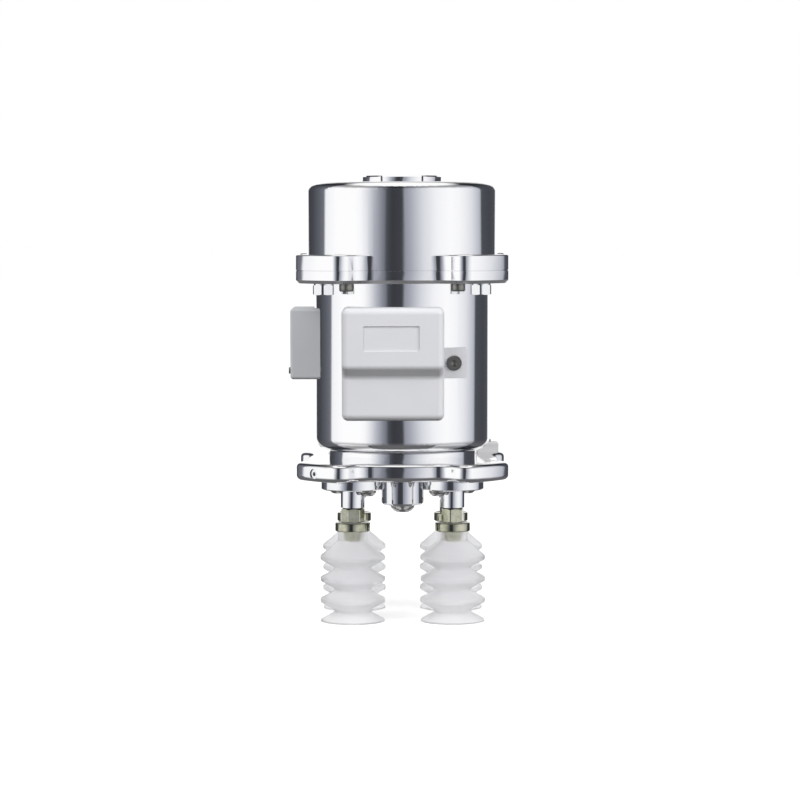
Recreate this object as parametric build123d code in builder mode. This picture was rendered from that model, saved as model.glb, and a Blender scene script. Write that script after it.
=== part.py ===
from build123d import *
import math
import os

# Vacuum gripper: an ejector unit in a round housing, hung under a robot adapter cap,
# with a lobed base manifold that carries four bellows suction cups.
# Millimetres, +Z up, origin at the centre of the cap's top face, front towards -Y.

# Main housing, whose radius carries everything round it
housing_radius = 34.5
housing_wall = 2.5
housing_floor = 5.0
housing_corner_radius = 5.0
housing_body_height = 65.85
cavity_radius = housing_radius - housing_wall
flange_thickness = 5.0
flange_edge = 1.3
seam_edge = 0.2
cap_seal_inset = 2.4
cap_seal_radius = cavity_radius + cap_seal_inset
cap_seal_width = 1.6
cap_seal_depth = 1.2

# Adapter cap
cap_overhang = 3.0
cap_radius = housing_radius + cap_overhang
cap_height = 34.0
cap_roof = 8.0
cap_edge_radius = 3.5
cap_ear_thickness = 6.0
cap_ear_edge = 0.6
spigot_radius = 15.75
spigot_height = 2.5
spigot_recess_radius = 10.5
spigot_recess_depth = 3.0
spigot_chamfer = 0.5
spigot_groove_count = 6
spigot_groove_width = 0.9
spigot_groove_depth = 0.7
robot_bolt_reach = 25.0
robot_bolt_hole_radius = 3.3
robot_dowel_radius = 3.0

# Ears of the cap, the housing's flange and the base manifold
ear_overhang = 10.9
ear_reach = cap_radius + ear_overhang
ear_half_width = 13.6
# The straight side of an ear, which the fillets at its corner and its root share
ear_side = math.sqrt(ear_reach**2 - ear_half_width**2) - math.sqrt(cap_radius**2 - ear_half_width**2)
ear_corner_radius = 0.48 * ear_side
ear_root_radius = 0.702 * ear_side
ear_bolt_offset = 4.1
ear_bolt_reach = cap_radius + ear_bolt_offset

# Base manifold
neck_inset = 5.15
neck_radius = housing_radius - neck_inset
neck_height = 3.1
plate_thickness = 7.0
plate_edge_radius = 2.0
channel_inset = 4.35
channel_radius = neck_radius - channel_inset
channel_width = 2.4
channel_depth = 2.0
feed_radius = 1.2
inner_seal_offset, outer_seal_offset = 4.2, 2.4
base_seal_radii = (channel_radius - inner_seal_offset, channel_radius + outer_seal_offset)
base_seal_width = 1.2
base_seal_depth = 0.9
gallery_radius = 1.5
gallery_drop = 3.9
plug_radius = 1.9
plug_length = 5.0
plug_recess = 0.5
plug_socket = 1.5

# Fasteners: shank radius, head radius, head height
m2_radius, m2_head_radius, m2_head_height = 0.8, 1.3, 1.1
m3_radius, m3_head_radius, m3_head_height = 1.5, 2.75, 3.0
m4_radius, m4_head_radius, m4_head_height = 2.0, 3.5, 4.0
m4_button_radius, m4_button_height = 3.4, 2.2
m5_radius, m5_button_radius, m5_button_height = 2.5, 4.75, 2.9
ear_bolt_across_flats = 8.0
ear_bolt_head_height = 3.8
ear_bolt_washer_height = 0.5
ear_bolt_length = 10.0
flange_screw_gap = 0.34
flange_screw_angle = 55.3
flange_screw_length = 8.0
base_screw_reach = 15.0
base_screw_length = 9.5
thread_clearance = 0.05
hole_clearance = 0.2
seat_clearance = 0.05

# Pad flanges, fittings and clamp rings
pad_offset = 2.44
pad_reach = channel_radius + pad_offset
disc_radius = 12.3
disc_thickness = 4.0
disc_edge = 0.4
disc_recess_radius = 4.0
disc_recess_depth = 0.8
disc_seal_radius = 5.7
disc_seal_width = 1.1
disc_seal_depth = 0.9
disc_screw_offset = 8.25
disc_screw_length = 9.0
stem_radius = 4.7
stem_length = 7.1
fitting_gasket_thickness = 0.5
fitting_gasket_radius = 3.9
fitting_across_flats = 8.0
fitting_hex_height = 5.3
fitting_stud_length = 6.0
fitting_bore_radius = 1.6
barb_radius = 3.9
barb_length = 7.9
barb_ring_height = 0.35
clamp_ring_radius = 6.85
clamp_ring_height = 3.5
clamp_ring_edge = 0.5

# Bellows suction cups
cup_neck_radius = 5.7
cup_neck_length = 7.0
cup_first_slope = 6.7
cup_fold_pitch = 8.3
cup_fold_count = 3
cup_tip_radius = 12.55
cup_tip_height = 1.5
cup_tip_wall = 2.2
cup_valley_radius = 6.3
cup_valley_wall = 1.0
cup_lip_drop = 4.15
cup_lip_radius = 12.4
cup_lip_wall = 0.7
cup_fit = 0.05

# Centre post
post_corner_radius = 8.35
post_face_crown = 0.8
post_height = 11.9
post_chamfer = 0.7
post_screw_grip = 8.0

# Front cover
cover_centre_x = -3.6
cover_width = 39.0
cover_drop = 8.85
cover_height = 43.3
cover_reach = 10.0
cover_front_y = -housing_radius - cover_reach
cover_step_depth = 4.0
cover_step_top = 22.8
cover_step_height = 3.8
cover_corner = 2.6
cover_side_edge = 2.4
cover_wall = 2.0
cover_gasket = 0.5
cover_panel_width = 21.5
cover_panel_height = 9.6
cover_panel_drop = 7.0
cover_panel_depth = 0.5
tab_right_x = 24.85
tab_drop = 15.75
tab_height = 11.7
tab_thickness = 1.4
tab_corner = 1.0
tab_screw_x = 19.8
tab_screw_length = 8.0
tab_screw_sink = 2.0
tab_boss_radius = 4.0
tab_boss_depth = 11.0
tab_low_x = cover_centre_x + cover_width / 2
tab_front_y = -math.sqrt(housing_radius**2 - tab_low_x**2) - tab_thickness
tab_boss_depth_y = tab_front_y + tab_boss_depth
cover_window_width = 30.0
cover_window_height = 36.0

# Switch cover on the left
switch_cover_reach = 9.1
switch_cover_left_x = -housing_radius - switch_cover_reach
switch_cover_half_depth = 14.0
switch_cover_drop = 10.05
switch_cover_height = 27.6
switch_cover_wall = 1.6
switch_cover_edge = 1.2
switch_gasket_thickness = 0.4
switch_window_half_depth = 9.4
switch_window_height = 16.8
switch_body_clearance = 0.3
switch_body_edge = 0.8
switch_body_reach = 3.0
switch_body_inner_x = switch_body_reach - cavity_radius
switch_port_radius = 2.5
switch_port_length = 4.0
switch_screw_rise = 2.8
switch_screw_length = 11.0
switch_screw_post = 2.6

# Rear fittings
rear_boss_reach = 1.7
rear_boss_face_y = housing_radius + rear_boss_reach
connector_drop = 21.0
connector_boss_radius = 8.5
connector_thread_radius = 4.0
connector_shell_length = 17.0
connector_inner_reach = 3.0
connector_inner_end_y = cavity_radius - connector_inner_reach
connector_bore_radius = 3.1
connector_collar_radius = 6.5
connector_collar_height = 2.0
connector_nut_flats = 11.0
connector_nut_height = 2.5
connector_pin_radius = 0.5
connector_pin_circle_radius = 1.6
connector_pin_length = 4.0
inlet_rise = 6.35
inlet_boss_radius = 6.0
inlet_thread_radius = 2.5
inlet_flats = 8.0
inlet_hex_length = 4.0
inlet_body_radius = 4.4
inlet_body_length = 9.0
inlet_tube_radius = 2.05
inlet_tube_depth = 10.0
release_ring_radius = 3.3
release_ring_length = 1.8
supply_tube_radius = 2.0
supply_tube_bore = 1.25

# Exhaust cover on the rear right lobe
exhaust_width, exhaust_depth = 8.4, 10.0
exhaust_inset_x, exhaust_inset_y = 7.3, 16.5
exhaust_low_x = cap_radius - exhaust_inset_x
exhaust_high_x = exhaust_low_x + exhaust_width
exhaust_low_y = cap_radius - exhaust_inset_y
exhaust_high_y = exhaust_low_y + exhaust_depth
exhaust_height = 3.7
exhaust_slope = 2.6
exhaust_wall = 1.1
exhaust_slot_count = 3
exhaust_slot_width = 1.0
exhaust_slot_pitch = 2.1
exhaust_edge = 0.4
exhaust_screw_bite = 2.5
exhaust_screw_inset = 2.6

# Inner manifold, ejector, valves, filter and control board
block_half_depth = 14.8
block_wall_gap = 0.37
block_left_gap = 12.0
block_low_x = block_left_gap - cavity_radius
block_high_x = math.sqrt(cavity_radius**2 - block_half_depth**2) - block_wall_gap
block_height = 12.0
block_screw_inset = 4.0
block_screw_x = block_low_x + block_screw_inset
block_screw_y = 9.8
block_screw_length = 14.5
upright_low_x, upright_high_x = -16.5, 9.5
upright_front_y, upright_rear_y = -19.0, -13.0
upright_rim = 0.6
ejector_left_gap, ejector_right_gap = 8.0, 12.5
ejector_low_x, ejector_high_x = ejector_left_gap - cavity_radius, cavity_radius - ejector_right_gap
ejector_half_depth = 6.5
ejector_height = 14.0
ejector_bore_radius = 3.0
nozzle_length = 12.0
nozzle_throat_radius = 0.6
nozzle_gap = 3.5
diffuser_length = ejector_high_x - ejector_low_x - nozzle_length - nozzle_gap
diffuser_throat_radius = 0.9
diffuser_mouth_radius = 2.0
ejector_fit = 0.02
silencer_radius = 6.4
silencer_length = 9.0
silencer_bore_radius = 2.4
valve_width = 10.4
valve_gap = 2.0
valve_centre_x = -3.5
valve_low_rise = 6.6
valve_height = 30.0
valve_cover_gap = 0.8
valve_front_y = cover_front_y + cover_step_depth + cover_wall + valve_cover_gap
valve_head_front_y = cover_front_y + cover_wall + valve_cover_gap
valve_head_height = 14.0
filter_inset = 5.6
filter_x = block_high_x - filter_inset
filter_radius = 4.0
filter_bore_radius = 2.2
filter_length = 8.0
filter_fit = 0.2
filter_cap_radius = 4.9
filter_cap_height = 1.5
board_half_width = 20.0
board_thickness = 1.6
board_height = 40.0
board_rise = 8.4
standoff_radius = 2.0
standoff_length = 3.0
standoff_x = 15.0
standoff_drop = 2.1
board_screw_length = 7.0
chip_sizes = ((9.0, 9.0), (6.0, 5.0), (5.0, 10.0))
chip_places = ((-8.0, 20.0), (8.0, 26.0), (10.0, 12.0))
chip_height = 1.4

# Places of the screws beside the ear bolts, one in each ear
flange_screw_reach = housing_radius + m3_head_radius + flange_screw_gap
flange_screw_x = flange_screw_reach * math.cos(math.radians(flange_screw_angle))
flange_screw_y = flange_screw_reach * math.sin(math.radians(flange_screw_angle))
flange_screw_places = [(x * flange_screw_x, y * flange_screw_y) for x in (-1, 1) for y in (-1, 1)]

# Levels, from the cap's top face down
seam_z = -cap_height
flange_bottom_z = seam_z - flange_thickness
housing_bottom_z = flange_bottom_z - housing_body_height
floor_z = housing_bottom_z + housing_floor
plate_top_z = housing_bottom_z - neck_height
plate_bottom_z = plate_top_z - plate_thickness
disc_bottom_z = plate_bottom_z - disc_thickness
stem_bottom_z = disc_bottom_z - stem_length
hex_top_z = stem_bottom_z - fitting_gasket_thickness
hex_bottom_z = hex_top_z - fitting_hex_height
clamp_ring_bottom_z = hex_bottom_z - clamp_ring_height
cup_top_z = hex_bottom_z - seat_clearance
first_tip_z = cup_top_z - cup_neck_length - cup_first_slope
post_bottom_z = plate_bottom_z - post_height
block_top_z = floor_z + block_height
cover_top_z = flange_bottom_z - cover_drop
cover_bottom_z = cover_top_z - cover_height
tab_top_z = cover_top_z - tab_drop
switch_cover_top_z = flange_bottom_z - switch_cover_drop
connector_z = flange_bottom_z - connector_drop
inlet_z = floor_z + inlet_rise
valve_low_z = cover_bottom_z + valve_low_rise
upright_top_z = valve_low_z + valve_height + upright_rim
gallery_z = plate_top_z - gallery_drop

# The four corners, by angle round the axis
corner_angles = {"rear_right": 45, "rear_left": 135, "front_left": 225, "front_right": 315}
# Where each fitting's hexagon stopped when it was tightened, in degrees
hexagon_turns = {"rear_right": 4, "rear_left": 22, "front_left": 53, "front_right": 15}

os.makedirs("parts", exist_ok=True)


def save(part, name):
    """Labels a finished piece and writes it under the same name."""
    part.label = name
    export_step(part, f"parts/{name}.step")


def radial(vertex):
    """Distance of a vertex from the object's axis."""
    return math.hypot(vertex.X, vertex.Y)


def eared_outline():
    """The round plate with four ears that the cap, the flange and the manifold share."""
    with BuildSketch() as outline:
        for turn in (45, 135):
            Rectangle(2 * ear_reach, 2 * ear_half_width, rotation=turn)
        Circle(ear_reach, mode=Mode.INTERSECT)
        Circle(cap_radius)
        outer = outline.vertices().filter_by(lambda v: radial(v) > ear_reach - 0.5)
        fillet(outer, ear_corner_radius)
        roots = outline.vertices().filter_by(lambda v: radial(v) < cap_radius + 0.1)
        fillet(roots, ear_root_radius)
    return outline.sketch


def ring(centre_radius, width, low_z, height):
    """A flat ring of rectangular section round the object's axis."""
    with BuildPart() as piece:
        with BuildSketch(Plane.XY.offset(low_z)):
            Circle(centre_radius + width / 2)
            Circle(centre_radius - width / 2, mode=Mode.SUBTRACT)
        extrude(amount=height)
    return piece.part


def shank_with_head(head, radius, length, socket_flats, socket_depth):
    """Adds a shank above z = 0 and a hexagon socket from below to a head that hangs under z = 0."""
    with BuildPart() as screw:
        add(head)
        with BuildSketch(Plane.XY):
            Circle(radius)
        extrude(amount=length)
        bottom_z = screw.part.bounding_box().min.Z
        with BuildSketch(Plane.XY.offset(bottom_z)):
            RegularPolygon(socket_flats / 2, 6, major_radius=False)
        extrude(amount=socket_depth, mode=Mode.SUBTRACT)
    return screw.part


def cap_screw(radius, length, head_radius, head_height):
    """Socket cap screw, head down, with its seat at z = 0."""
    with BuildPart() as head:
        with BuildSketch(Plane.XY):
            Circle(head_radius)
        extrude(amount=-head_height)
        chamfer(head.edges().group_by(Axis.Z)[0], 0.1 * head_radius)
    return shank_with_head(head.part, radius, length, 0.9 * head_radius, 0.55 * head_height)


def button_screw(radius, length, head_radius, head_height):
    """Button head screw, head down, with its seat at z = 0."""
    with BuildPart() as head:
        with BuildSketch(Plane.XZ):
            with BuildLine():
                Line((0, 0), (head_radius, 0))
                ThreePointArc(
                    (head_radius, 0),
                    (0.82 * head_radius, -0.62 * head_height),
                    (0.45 * head_radius, -head_height),
                )
                Line((0.45 * head_radius, -head_height), (0, -head_height))
                Line((0, -head_height), (0, 0))
            make_face()
        revolve(axis=Axis.Z)
    return shank_with_head(head.part, radius, length, 0.62 * head_radius, 0.6 * head_height)


def hexagon_bar(across_flats, height, low_z, chamfer_top, chamfer_bottom, turn=0.0):
    """Hexagon with its corners turned off at the ends that are chamfered."""
    corner = across_flats / math.sqrt(3)
    flat = across_flats / 2
    drop = (corner - flat) * 0.6
    high_z = low_z + height
    with BuildPart() as bar:
        with BuildSketch(Plane.XY.offset(low_z)):
            RegularPolygon(flat, 6, major_radius=False, rotation=turn)
        extrude(amount=height)
        with BuildSketch(Plane.XZ):
            with BuildLine():
                Polyline(
                    (0, low_z),
                    (flat if chamfer_bottom else corner, low_z),
                    (corner, low_z + (drop if chamfer_bottom else 0.01)),
                    (corner, high_z - (drop if chamfer_top else 0.01)),
                    (flat if chamfer_top else corner, high_z),
                    (0, high_z),
                    close=True,
                )
            make_face()
        revolve(axis=Axis.Z, mode=Mode.INTERSECT)
    return bar.part


def placed(part, name, *locations):
    """Saves one piece, or a group of like pieces, at the given locations."""
    with BuildPart() as piece:
        with Locations(*locations):
            add(part)
    save(piece.part, name)


ears = eared_outline()

# Adapter cap: a turned cup whose ears sit on the housing's flange
with BuildPart() as adapter_cap:
    with BuildSketch(Plane.XY.offset(seam_z)):
        add(ears)
    extrude(amount=cap_ear_thickness)
    fillet(adapter_cap.edges().group_by(Axis.Z)[-1], cap_ear_edge)
    with BuildSketch(Plane.XY.offset(seam_z)):
        Circle(cap_radius)
    extrude(amount=cap_height)
    fillet(adapter_cap.edges().group_by(Axis.Z)[-1], cap_edge_radius)
    chamfer(adapter_cap.edges().group_by(Axis.Z)[0], seam_edge)
    with BuildSketch(Plane.XY):
        Circle(spigot_radius)
    extrude(amount=spigot_height)
    chamfer(adapter_cap.edges().group_by(Axis.Z)[-1], spigot_chamfer)
    with BuildSketch(Plane.XY):
        with PolarLocations(spigot_radius, spigot_groove_count):
            Rectangle(2 * spigot_groove_depth, spigot_groove_width)
    extrude(amount=spigot_height, mode=Mode.SUBTRACT)
    with BuildSketch(Plane.XY.offset(seam_z)):
        Circle(cavity_radius)
    extrude(amount=cap_height - cap_roof, mode=Mode.SUBTRACT)
    with BuildSketch(Plane.XY.offset(spigot_height)):
        Circle(spigot_recess_radius)
    extrude(amount=-spigot_recess_depth, mode=Mode.SUBTRACT)
    with BuildSketch(Plane.XY):
        with PolarLocations(robot_bolt_reach, 4, start_angle=45):
            Circle(robot_bolt_hole_radius)
        with Locations((0, robot_bolt_reach)):
            Circle(robot_dowel_radius)
    extrude(amount=-cap_roof, mode=Mode.SUBTRACT)
    with BuildSketch(Plane.XY.offset(seam_z)):
        with PolarLocations(ear_bolt_reach, 4, start_angle=45):
            Circle(m5_radius + thread_clearance)
        with Locations(*flange_screw_places):
            Circle(m3_radius + thread_clearance)
    extrude(amount=cap_ear_thickness, mode=Mode.SUBTRACT)
save(adapter_cap.part, "adapter_cap")

# Seal between the cap and the flange, in a groove of the flange
seal = ring(cap_seal_radius, cap_seal_width, seam_z - cap_seal_depth, cap_seal_depth - seat_clearance)
save(seal, "cap_seal")

# Boss inside the housing for the front cover's screw
with BuildPart() as tab_boss:
    with BuildSketch(Plane.XZ.offset(-tab_boss_depth_y)):
        with Locations((tab_screw_x, tab_top_z - tab_height / 2)):
            Circle(tab_boss_radius)
    extrude(amount=housing_radius)
    with BuildSketch(Plane.XY.offset(housing_bottom_z)):
        Circle(housing_radius - housing_wall / 2)
    extrude(amount=housing_body_height, mode=Mode.INTERSECT)

# Main housing: a can with a flange on top and windows for the front and the left cover
with BuildPart() as main_housing:
    with BuildSketch(Plane.XY.offset(flange_bottom_z)):
        add(ears)
    extrude(amount=flange_thickness)
    chamfer(main_housing.edges().group_by(Axis.Z)[0], flange_edge)
    chamfer(main_housing.edges().group_by(Axis.Z)[-1], seam_edge)
    with BuildSketch(Plane.XY.offset(flange_bottom_z)):
        Circle(housing_radius)
    extrude(amount=-housing_body_height)
    fillet(main_housing.edges().group_by(Axis.Z)[0], housing_corner_radius)
    with BuildSketch(Plane.XZ.offset(-rear_boss_face_y)):
        with Locations((0, connector_z)):
            Circle(connector_boss_radius)
        with Locations((0, inlet_z)):
            Circle(inlet_boss_radius)
    extrude(amount=rear_boss_face_y - cavity_radius + housing_wall)
    with BuildSketch(Plane.XY.offset(seam_z)):
        Circle(cavity_radius)
    extrude(amount=floor_z - seam_z, mode=Mode.SUBTRACT)
    add(tab_boss.part)
    with BuildSketch(Plane.XY.offset(seam_z)):
        Circle(cap_seal_radius + cap_seal_width / 2)
        Circle(cap_seal_radius - cap_seal_width / 2, mode=Mode.SUBTRACT)
    extrude(amount=-cap_seal_depth, mode=Mode.SUBTRACT)
    with BuildSketch(Plane.XY.offset(seam_z)):
        with PolarLocations(ear_bolt_reach, 4, start_angle=45):
            Circle(m5_radius + hole_clearance)
        with Locations(*flange_screw_places):
            Circle(m3_radius + hole_clearance)
    extrude(amount=-flange_thickness, mode=Mode.SUBTRACT)
    with BuildSketch(Plane.XZ.offset(cavity_radius / 2)):
        with Locations((cover_centre_x, cover_top_z - cover_height / 2)):
            Rectangle(cover_window_width, cover_window_height)
    extrude(amount=housing_radius, mode=Mode.SUBTRACT)
    with BuildSketch(Plane.YZ.offset(switch_body_inner_x)):
        with Locations((0, switch_cover_top_z - switch_cover_height / 2 + switch_screw_post)):
            Rectangle(2 * switch_window_half_depth, switch_window_height)
        with Locations((0, switch_cover_top_z - switch_cover_height + switch_screw_rise)):
            Circle(m2_radius + thread_clearance)
    extrude(amount=-housing_radius, mode=Mode.SUBTRACT)
    with BuildSketch(Plane.XZ.offset(-rear_boss_face_y)):
        with Locations((0, connector_z)):
            Circle(connector_thread_radius + thread_clearance)
        with Locations((0, inlet_z)):
            Circle(inlet_thread_radius + thread_clearance)
    extrude(amount=rear_boss_face_y - connector_inner_end_y, mode=Mode.SUBTRACT)
    with BuildSketch(Plane.XZ.offset(-tab_boss_depth_y)):
        with Locations((tab_screw_x, tab_top_z - tab_height / 2)):
            Circle(m3_radius + thread_clearance)
    extrude(amount=housing_radius, mode=Mode.SUBTRACT)
    with BuildSketch(Plane.XY.offset(housing_bottom_z)):
        with PolarLocations(base_screw_reach, 4):
            Circle(m4_radius + thread_clearance)
        with Locations((channel_radius, 0)):
            Circle(feed_radius)
        with Locations((block_screw_x, block_screw_y), (block_screw_x, -block_screw_y)):
            Circle(m3_radius + thread_clearance)
    extrude(amount=housing_floor, mode=Mode.SUBTRACT)
save(main_housing.part, "main_housing")

# Hexagon bolts of the ears, with a round washer face under the head
with BuildPart() as ear_bolt:
    washer_z = -ear_bolt_washer_height
    with BuildSketch(Plane.XY.offset(washer_z)):
        Circle(ear_bolt_across_flats / 2)
    extrude(amount=ear_bolt_washer_height)
    head_z = washer_z - ear_bolt_head_height
    add(hexagon_bar(ear_bolt_across_flats, ear_bolt_head_height, head_z, False, True))
    with BuildSketch(Plane.XY):
        Circle(m5_radius)
    extrude(amount=ear_bolt_length)
with BuildPart() as ear_bolts:
    with PolarLocations(ear_bolt_reach, 4, start_angle=45, rotate=False):
        with Locations((0, 0, flange_bottom_z)):
            add(ear_bolt.part)
save(ear_bolts.part, "ear_bolts")

flange_screw = cap_screw(m3_radius, flange_screw_length, m3_head_radius, m3_head_height)
placed(flange_screw, "flange_screws",
       *[(x, y, flange_bottom_z) for x, y in flange_screw_places])

# Base manifold: lobed plate and neck in one piece, with a ring channel on top of the neck
front_left = math.radians(corner_angles["front_left"])
lobe_plane = Plane(
    origin=(ear_reach * math.cos(front_left), ear_reach * math.sin(front_left), gallery_z),
    z_dir=(math.cos(front_left), math.sin(front_left), 0),
)
with BuildPart() as base_manifold:
    with BuildSketch(Plane.XY.offset(plate_bottom_z)):
        add(ears)
    extrude(amount=plate_thickness)
    fillet(base_manifold.edges().group_by(Axis.Z)[0], plate_edge_radius)
    fillet(base_manifold.edges().group_by(Axis.Z)[-1], plate_edge_radius)
    with BuildSketch(Plane.XY.offset(plate_top_z)):
        Circle(neck_radius)
    extrude(amount=neck_height)
    with BuildSketch(Plane.XY.offset(housing_bottom_z)):
        Circle(channel_radius + channel_width / 2)
        Circle(channel_radius - channel_width / 2, mode=Mode.SUBTRACT)
    extrude(amount=-channel_depth, mode=Mode.SUBTRACT)
    for seal_radius in base_seal_radii:
        with BuildSketch(Plane.XY.offset(housing_bottom_z)):
            Circle(seal_radius + base_seal_width / 2)
            Circle(seal_radius - base_seal_width / 2, mode=Mode.SUBTRACT)
        extrude(amount=-base_seal_depth, mode=Mode.SUBTRACT)
    with BuildSketch(Plane.XY.offset(plate_bottom_z)):
        with PolarLocations(channel_radius, 4, start_angle=45):
            Circle(feed_radius)
        with PolarLocations(base_screw_reach, 4):
            Circle(m4_radius + hole_clearance)
    extrude(amount=plate_thickness + neck_height, mode=Mode.SUBTRACT)
    with BuildSketch(Plane.XY.offset(plate_bottom_z)):
        with PolarLocations(base_screw_reach, 4):
            Circle(m4_head_radius + hole_clearance)
    extrude(amount=m4_head_height + hole_clearance, mode=Mode.SUBTRACT)
    with BuildSketch(Plane.XY.offset(plate_bottom_z)):
        Circle(m5_radius + thread_clearance)
        with PolarLocations(pad_reach, 4, start_angle=45):
            with Locations((0, disc_screw_offset), (0, -disc_screw_offset)):
                Circle(m4_radius + thread_clearance)
    extrude(amount=plate_thickness - 0.5, mode=Mode.SUBTRACT)
    with BuildSketch(Plane.XY.offset(plate_bottom_z)):
        Circle(m5_radius + thread_clearance)
    extrude(amount=post_screw_grip + 0.5, mode=Mode.SUBTRACT)
    with BuildSketch(lobe_plane):
        Circle(gallery_radius)
    extrude(amount=channel_radius - ear_reach, mode=Mode.SUBTRACT)
    with BuildSketch(lobe_plane):
        Circle(plug_radius + thread_clearance)
    extrude(amount=-(plug_recess + plug_length), mode=Mode.SUBTRACT)
    with BuildSketch(Plane.XY.offset(plate_top_z)):
        with Locations(((exhaust_low_x + exhaust_high_x) / 2, exhaust_high_y - exhaust_screw_inset)):
            Circle(m2_radius + thread_clearance)
    extrude(amount=-plate_thickness / 2, mode=Mode.SUBTRACT)
save(base_manifold.part, "base_manifold")

# Set screw in the mouth of the gallery
with BuildPart() as gallery_plug:
    with BuildSketch(lobe_plane.offset(-plug_recess)):
        Circle(plug_radius)
    extrude(amount=-plug_length)
    with BuildSketch(lobe_plane.offset(-plug_recess)):
        RegularPolygon(plug_socket / 2, 6, major_radius=False)
    extrude(amount=-plug_length / 2, mode=Mode.SUBTRACT)
save(gallery_plug.part, "gallery_plug")

# Two rings that seal the channel against the housing's floor
with BuildPart() as base_seals:
    for seal_radius in base_seal_radii:
        add(ring(seal_radius, base_seal_width, housing_bottom_z - base_seal_depth,
                 base_seal_depth - seat_clearance))
save(base_seals.part, "base_seals")

base_screw = cap_screw(m4_radius, base_screw_length, m4_head_radius, m4_head_height)
with BuildPart() as base_fixing_screws:
    with PolarLocations(base_screw_reach, 4):
        with Locations((0, 0, plate_bottom_z + m4_head_height + hole_clearance)):
            add(base_screw)
save(base_fixing_screws.part, "base_fixing_screws")

# Pad flange: a turned disc and stem, drawn with +X pointing away from the object's axis
with BuildPart() as pad_flange:
    with BuildSketch(Plane.XY.offset(disc_bottom_z)):
        Circle(disc_radius)
    extrude(amount=disc_thickness)
    chamfer(pad_flange.edges().group_by(Axis.Z)[0], disc_edge)
    with BuildSketch(Plane.XY.offset(stem_bottom_z)):
        Circle(stem_radius)
    extrude(amount=stem_length)
    with BuildSketch(Plane.XY.offset(stem_bottom_z)):
        Circle(m5_radius + thread_clearance)
    extrude(amount=stem_length + disc_thickness, mode=Mode.SUBTRACT)
    with BuildSketch(Plane.XY.offset(plate_bottom_z)):
        Circle(disc_recess_radius)
    extrude(amount=-disc_recess_depth, mode=Mode.SUBTRACT)
    with BuildSketch(Plane.XY.offset(plate_bottom_z)):
        Circle(disc_seal_radius)
        Circle(disc_seal_radius - disc_seal_width, mode=Mode.SUBTRACT)
    extrude(amount=-disc_seal_depth, mode=Mode.SUBTRACT)
    with BuildSketch(Plane.XY.offset(disc_bottom_z)):
        with Locations((0, disc_screw_offset), (0, -disc_screw_offset)):
            Circle(m4_radius + hole_clearance)
    extrude(amount=disc_thickness, mode=Mode.SUBTRACT)


def pad_fitting(turn):
    """Stud, chamfered hexagon and barb turned from one bar, with the hexagon at the given angle."""
    barb_low_z = hex_bottom_z - barb_length
    groove = barb_radius - barb_ring_height
    with BuildPart() as fitting:
        add(hexagon_bar(fitting_across_flats, fitting_hex_height, hex_bottom_z, True, True, turn))
        with BuildSketch(Plane.XY.offset(hex_top_z)):
            Circle(m5_radius)
        extrude(amount=fitting_stud_length)
        with BuildSketch(Plane.XZ):
            with BuildLine():
                Polyline(
                    (0, hex_bottom_z),
                    (groove, hex_bottom_z),
                    (groove, hex_bottom_z - 0.35 * barb_length),
                    (barb_radius, hex_bottom_z - 0.45 * barb_length),
                    (groove, hex_bottom_z - 0.65 * barb_length),
                    (barb_radius, hex_bottom_z - 0.75 * barb_length),
                    (0.75 * barb_radius, barb_low_z),
                    (0, barb_low_z),
                    close=True,
                )
            make_face()
        revolve(axis=Axis.Z)
        with BuildSketch(Plane.XY.offset(barb_low_z)):
            Circle(fitting_bore_radius)
        extrude(amount=barb_length + fitting_hex_height + fitting_stud_length, mode=Mode.SUBTRACT)
    return fitting.part


# Clamp ring round the cup's neck
with BuildPart() as clamp_ring:
    with BuildSketch(Plane.XY.offset(clamp_ring_bottom_z)):
        Circle(clamp_ring_radius)
    extrude(amount=clamp_ring_height - seat_clearance)
    fillet(clamp_ring.edges(), clamp_ring_edge)
    with BuildSketch(Plane.XY.offset(clamp_ring_bottom_z)):
        Circle(cup_neck_radius + cup_fit)
    extrude(amount=clamp_ring_height, mode=Mode.SUBTRACT)


def cup_profile():
    """Half section of a bellows cup: down the outside, round the lip and up the inside."""
    outer = [(cup_neck_radius, cup_top_z), (cup_neck_radius, cup_top_z - cup_neck_length)]
    inner = [
        (barb_radius + cup_fit, cup_top_z),
        (barb_radius + cup_fit, hex_bottom_z - barb_length - cup_fit),
    ]
    for fold in range(cup_fold_count):
        tip_z = first_tip_z - fold * cup_fold_pitch
        valley_z = tip_z - cup_fold_pitch / 2
        outer += [(cup_tip_radius, tip_z + cup_tip_height / 2)]
        outer += [(cup_tip_radius, tip_z - cup_tip_height / 2)]
        outer += [(cup_valley_radius, valley_z)]
        inner += [(cup_tip_radius - cup_tip_wall, tip_z)]
        inner += [(cup_valley_radius - cup_valley_wall, valley_z)]
    lip_z = valley_z - cup_lip_drop
    outer += [(cup_lip_radius, lip_z + cup_lip_wall), (cup_lip_radius, lip_z)]
    inner += [(cup_lip_radius - 1.5 * cup_lip_wall, lip_z)]
    return outer + inner[::-1]


# Bellows suction cup, one silicone moulding
with BuildPart() as suction_cup:
    with BuildSketch(Plane.XZ):
        with BuildLine():
            Polyline(*cup_profile(), close=True)
        make_face()
    revolve(axis=Axis.Z)

for corner, angle in corner_angles.items():
    place = Location(
        (pad_reach * math.cos(math.radians(angle)),
         pad_reach * math.sin(math.radians(angle)), 0),
        (0, 0, angle),
    )
    placed(pad_flange.part, f"pad_flange_{corner}", place)
    placed(pad_fitting(hexagon_turns[corner]), f"pad_fitting_{corner}", place)
    placed(clamp_ring.part, f"clamp_ring_{corner}", place)
    placed(suction_cup.part, f"suction_cup_{corner}", place)

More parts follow.
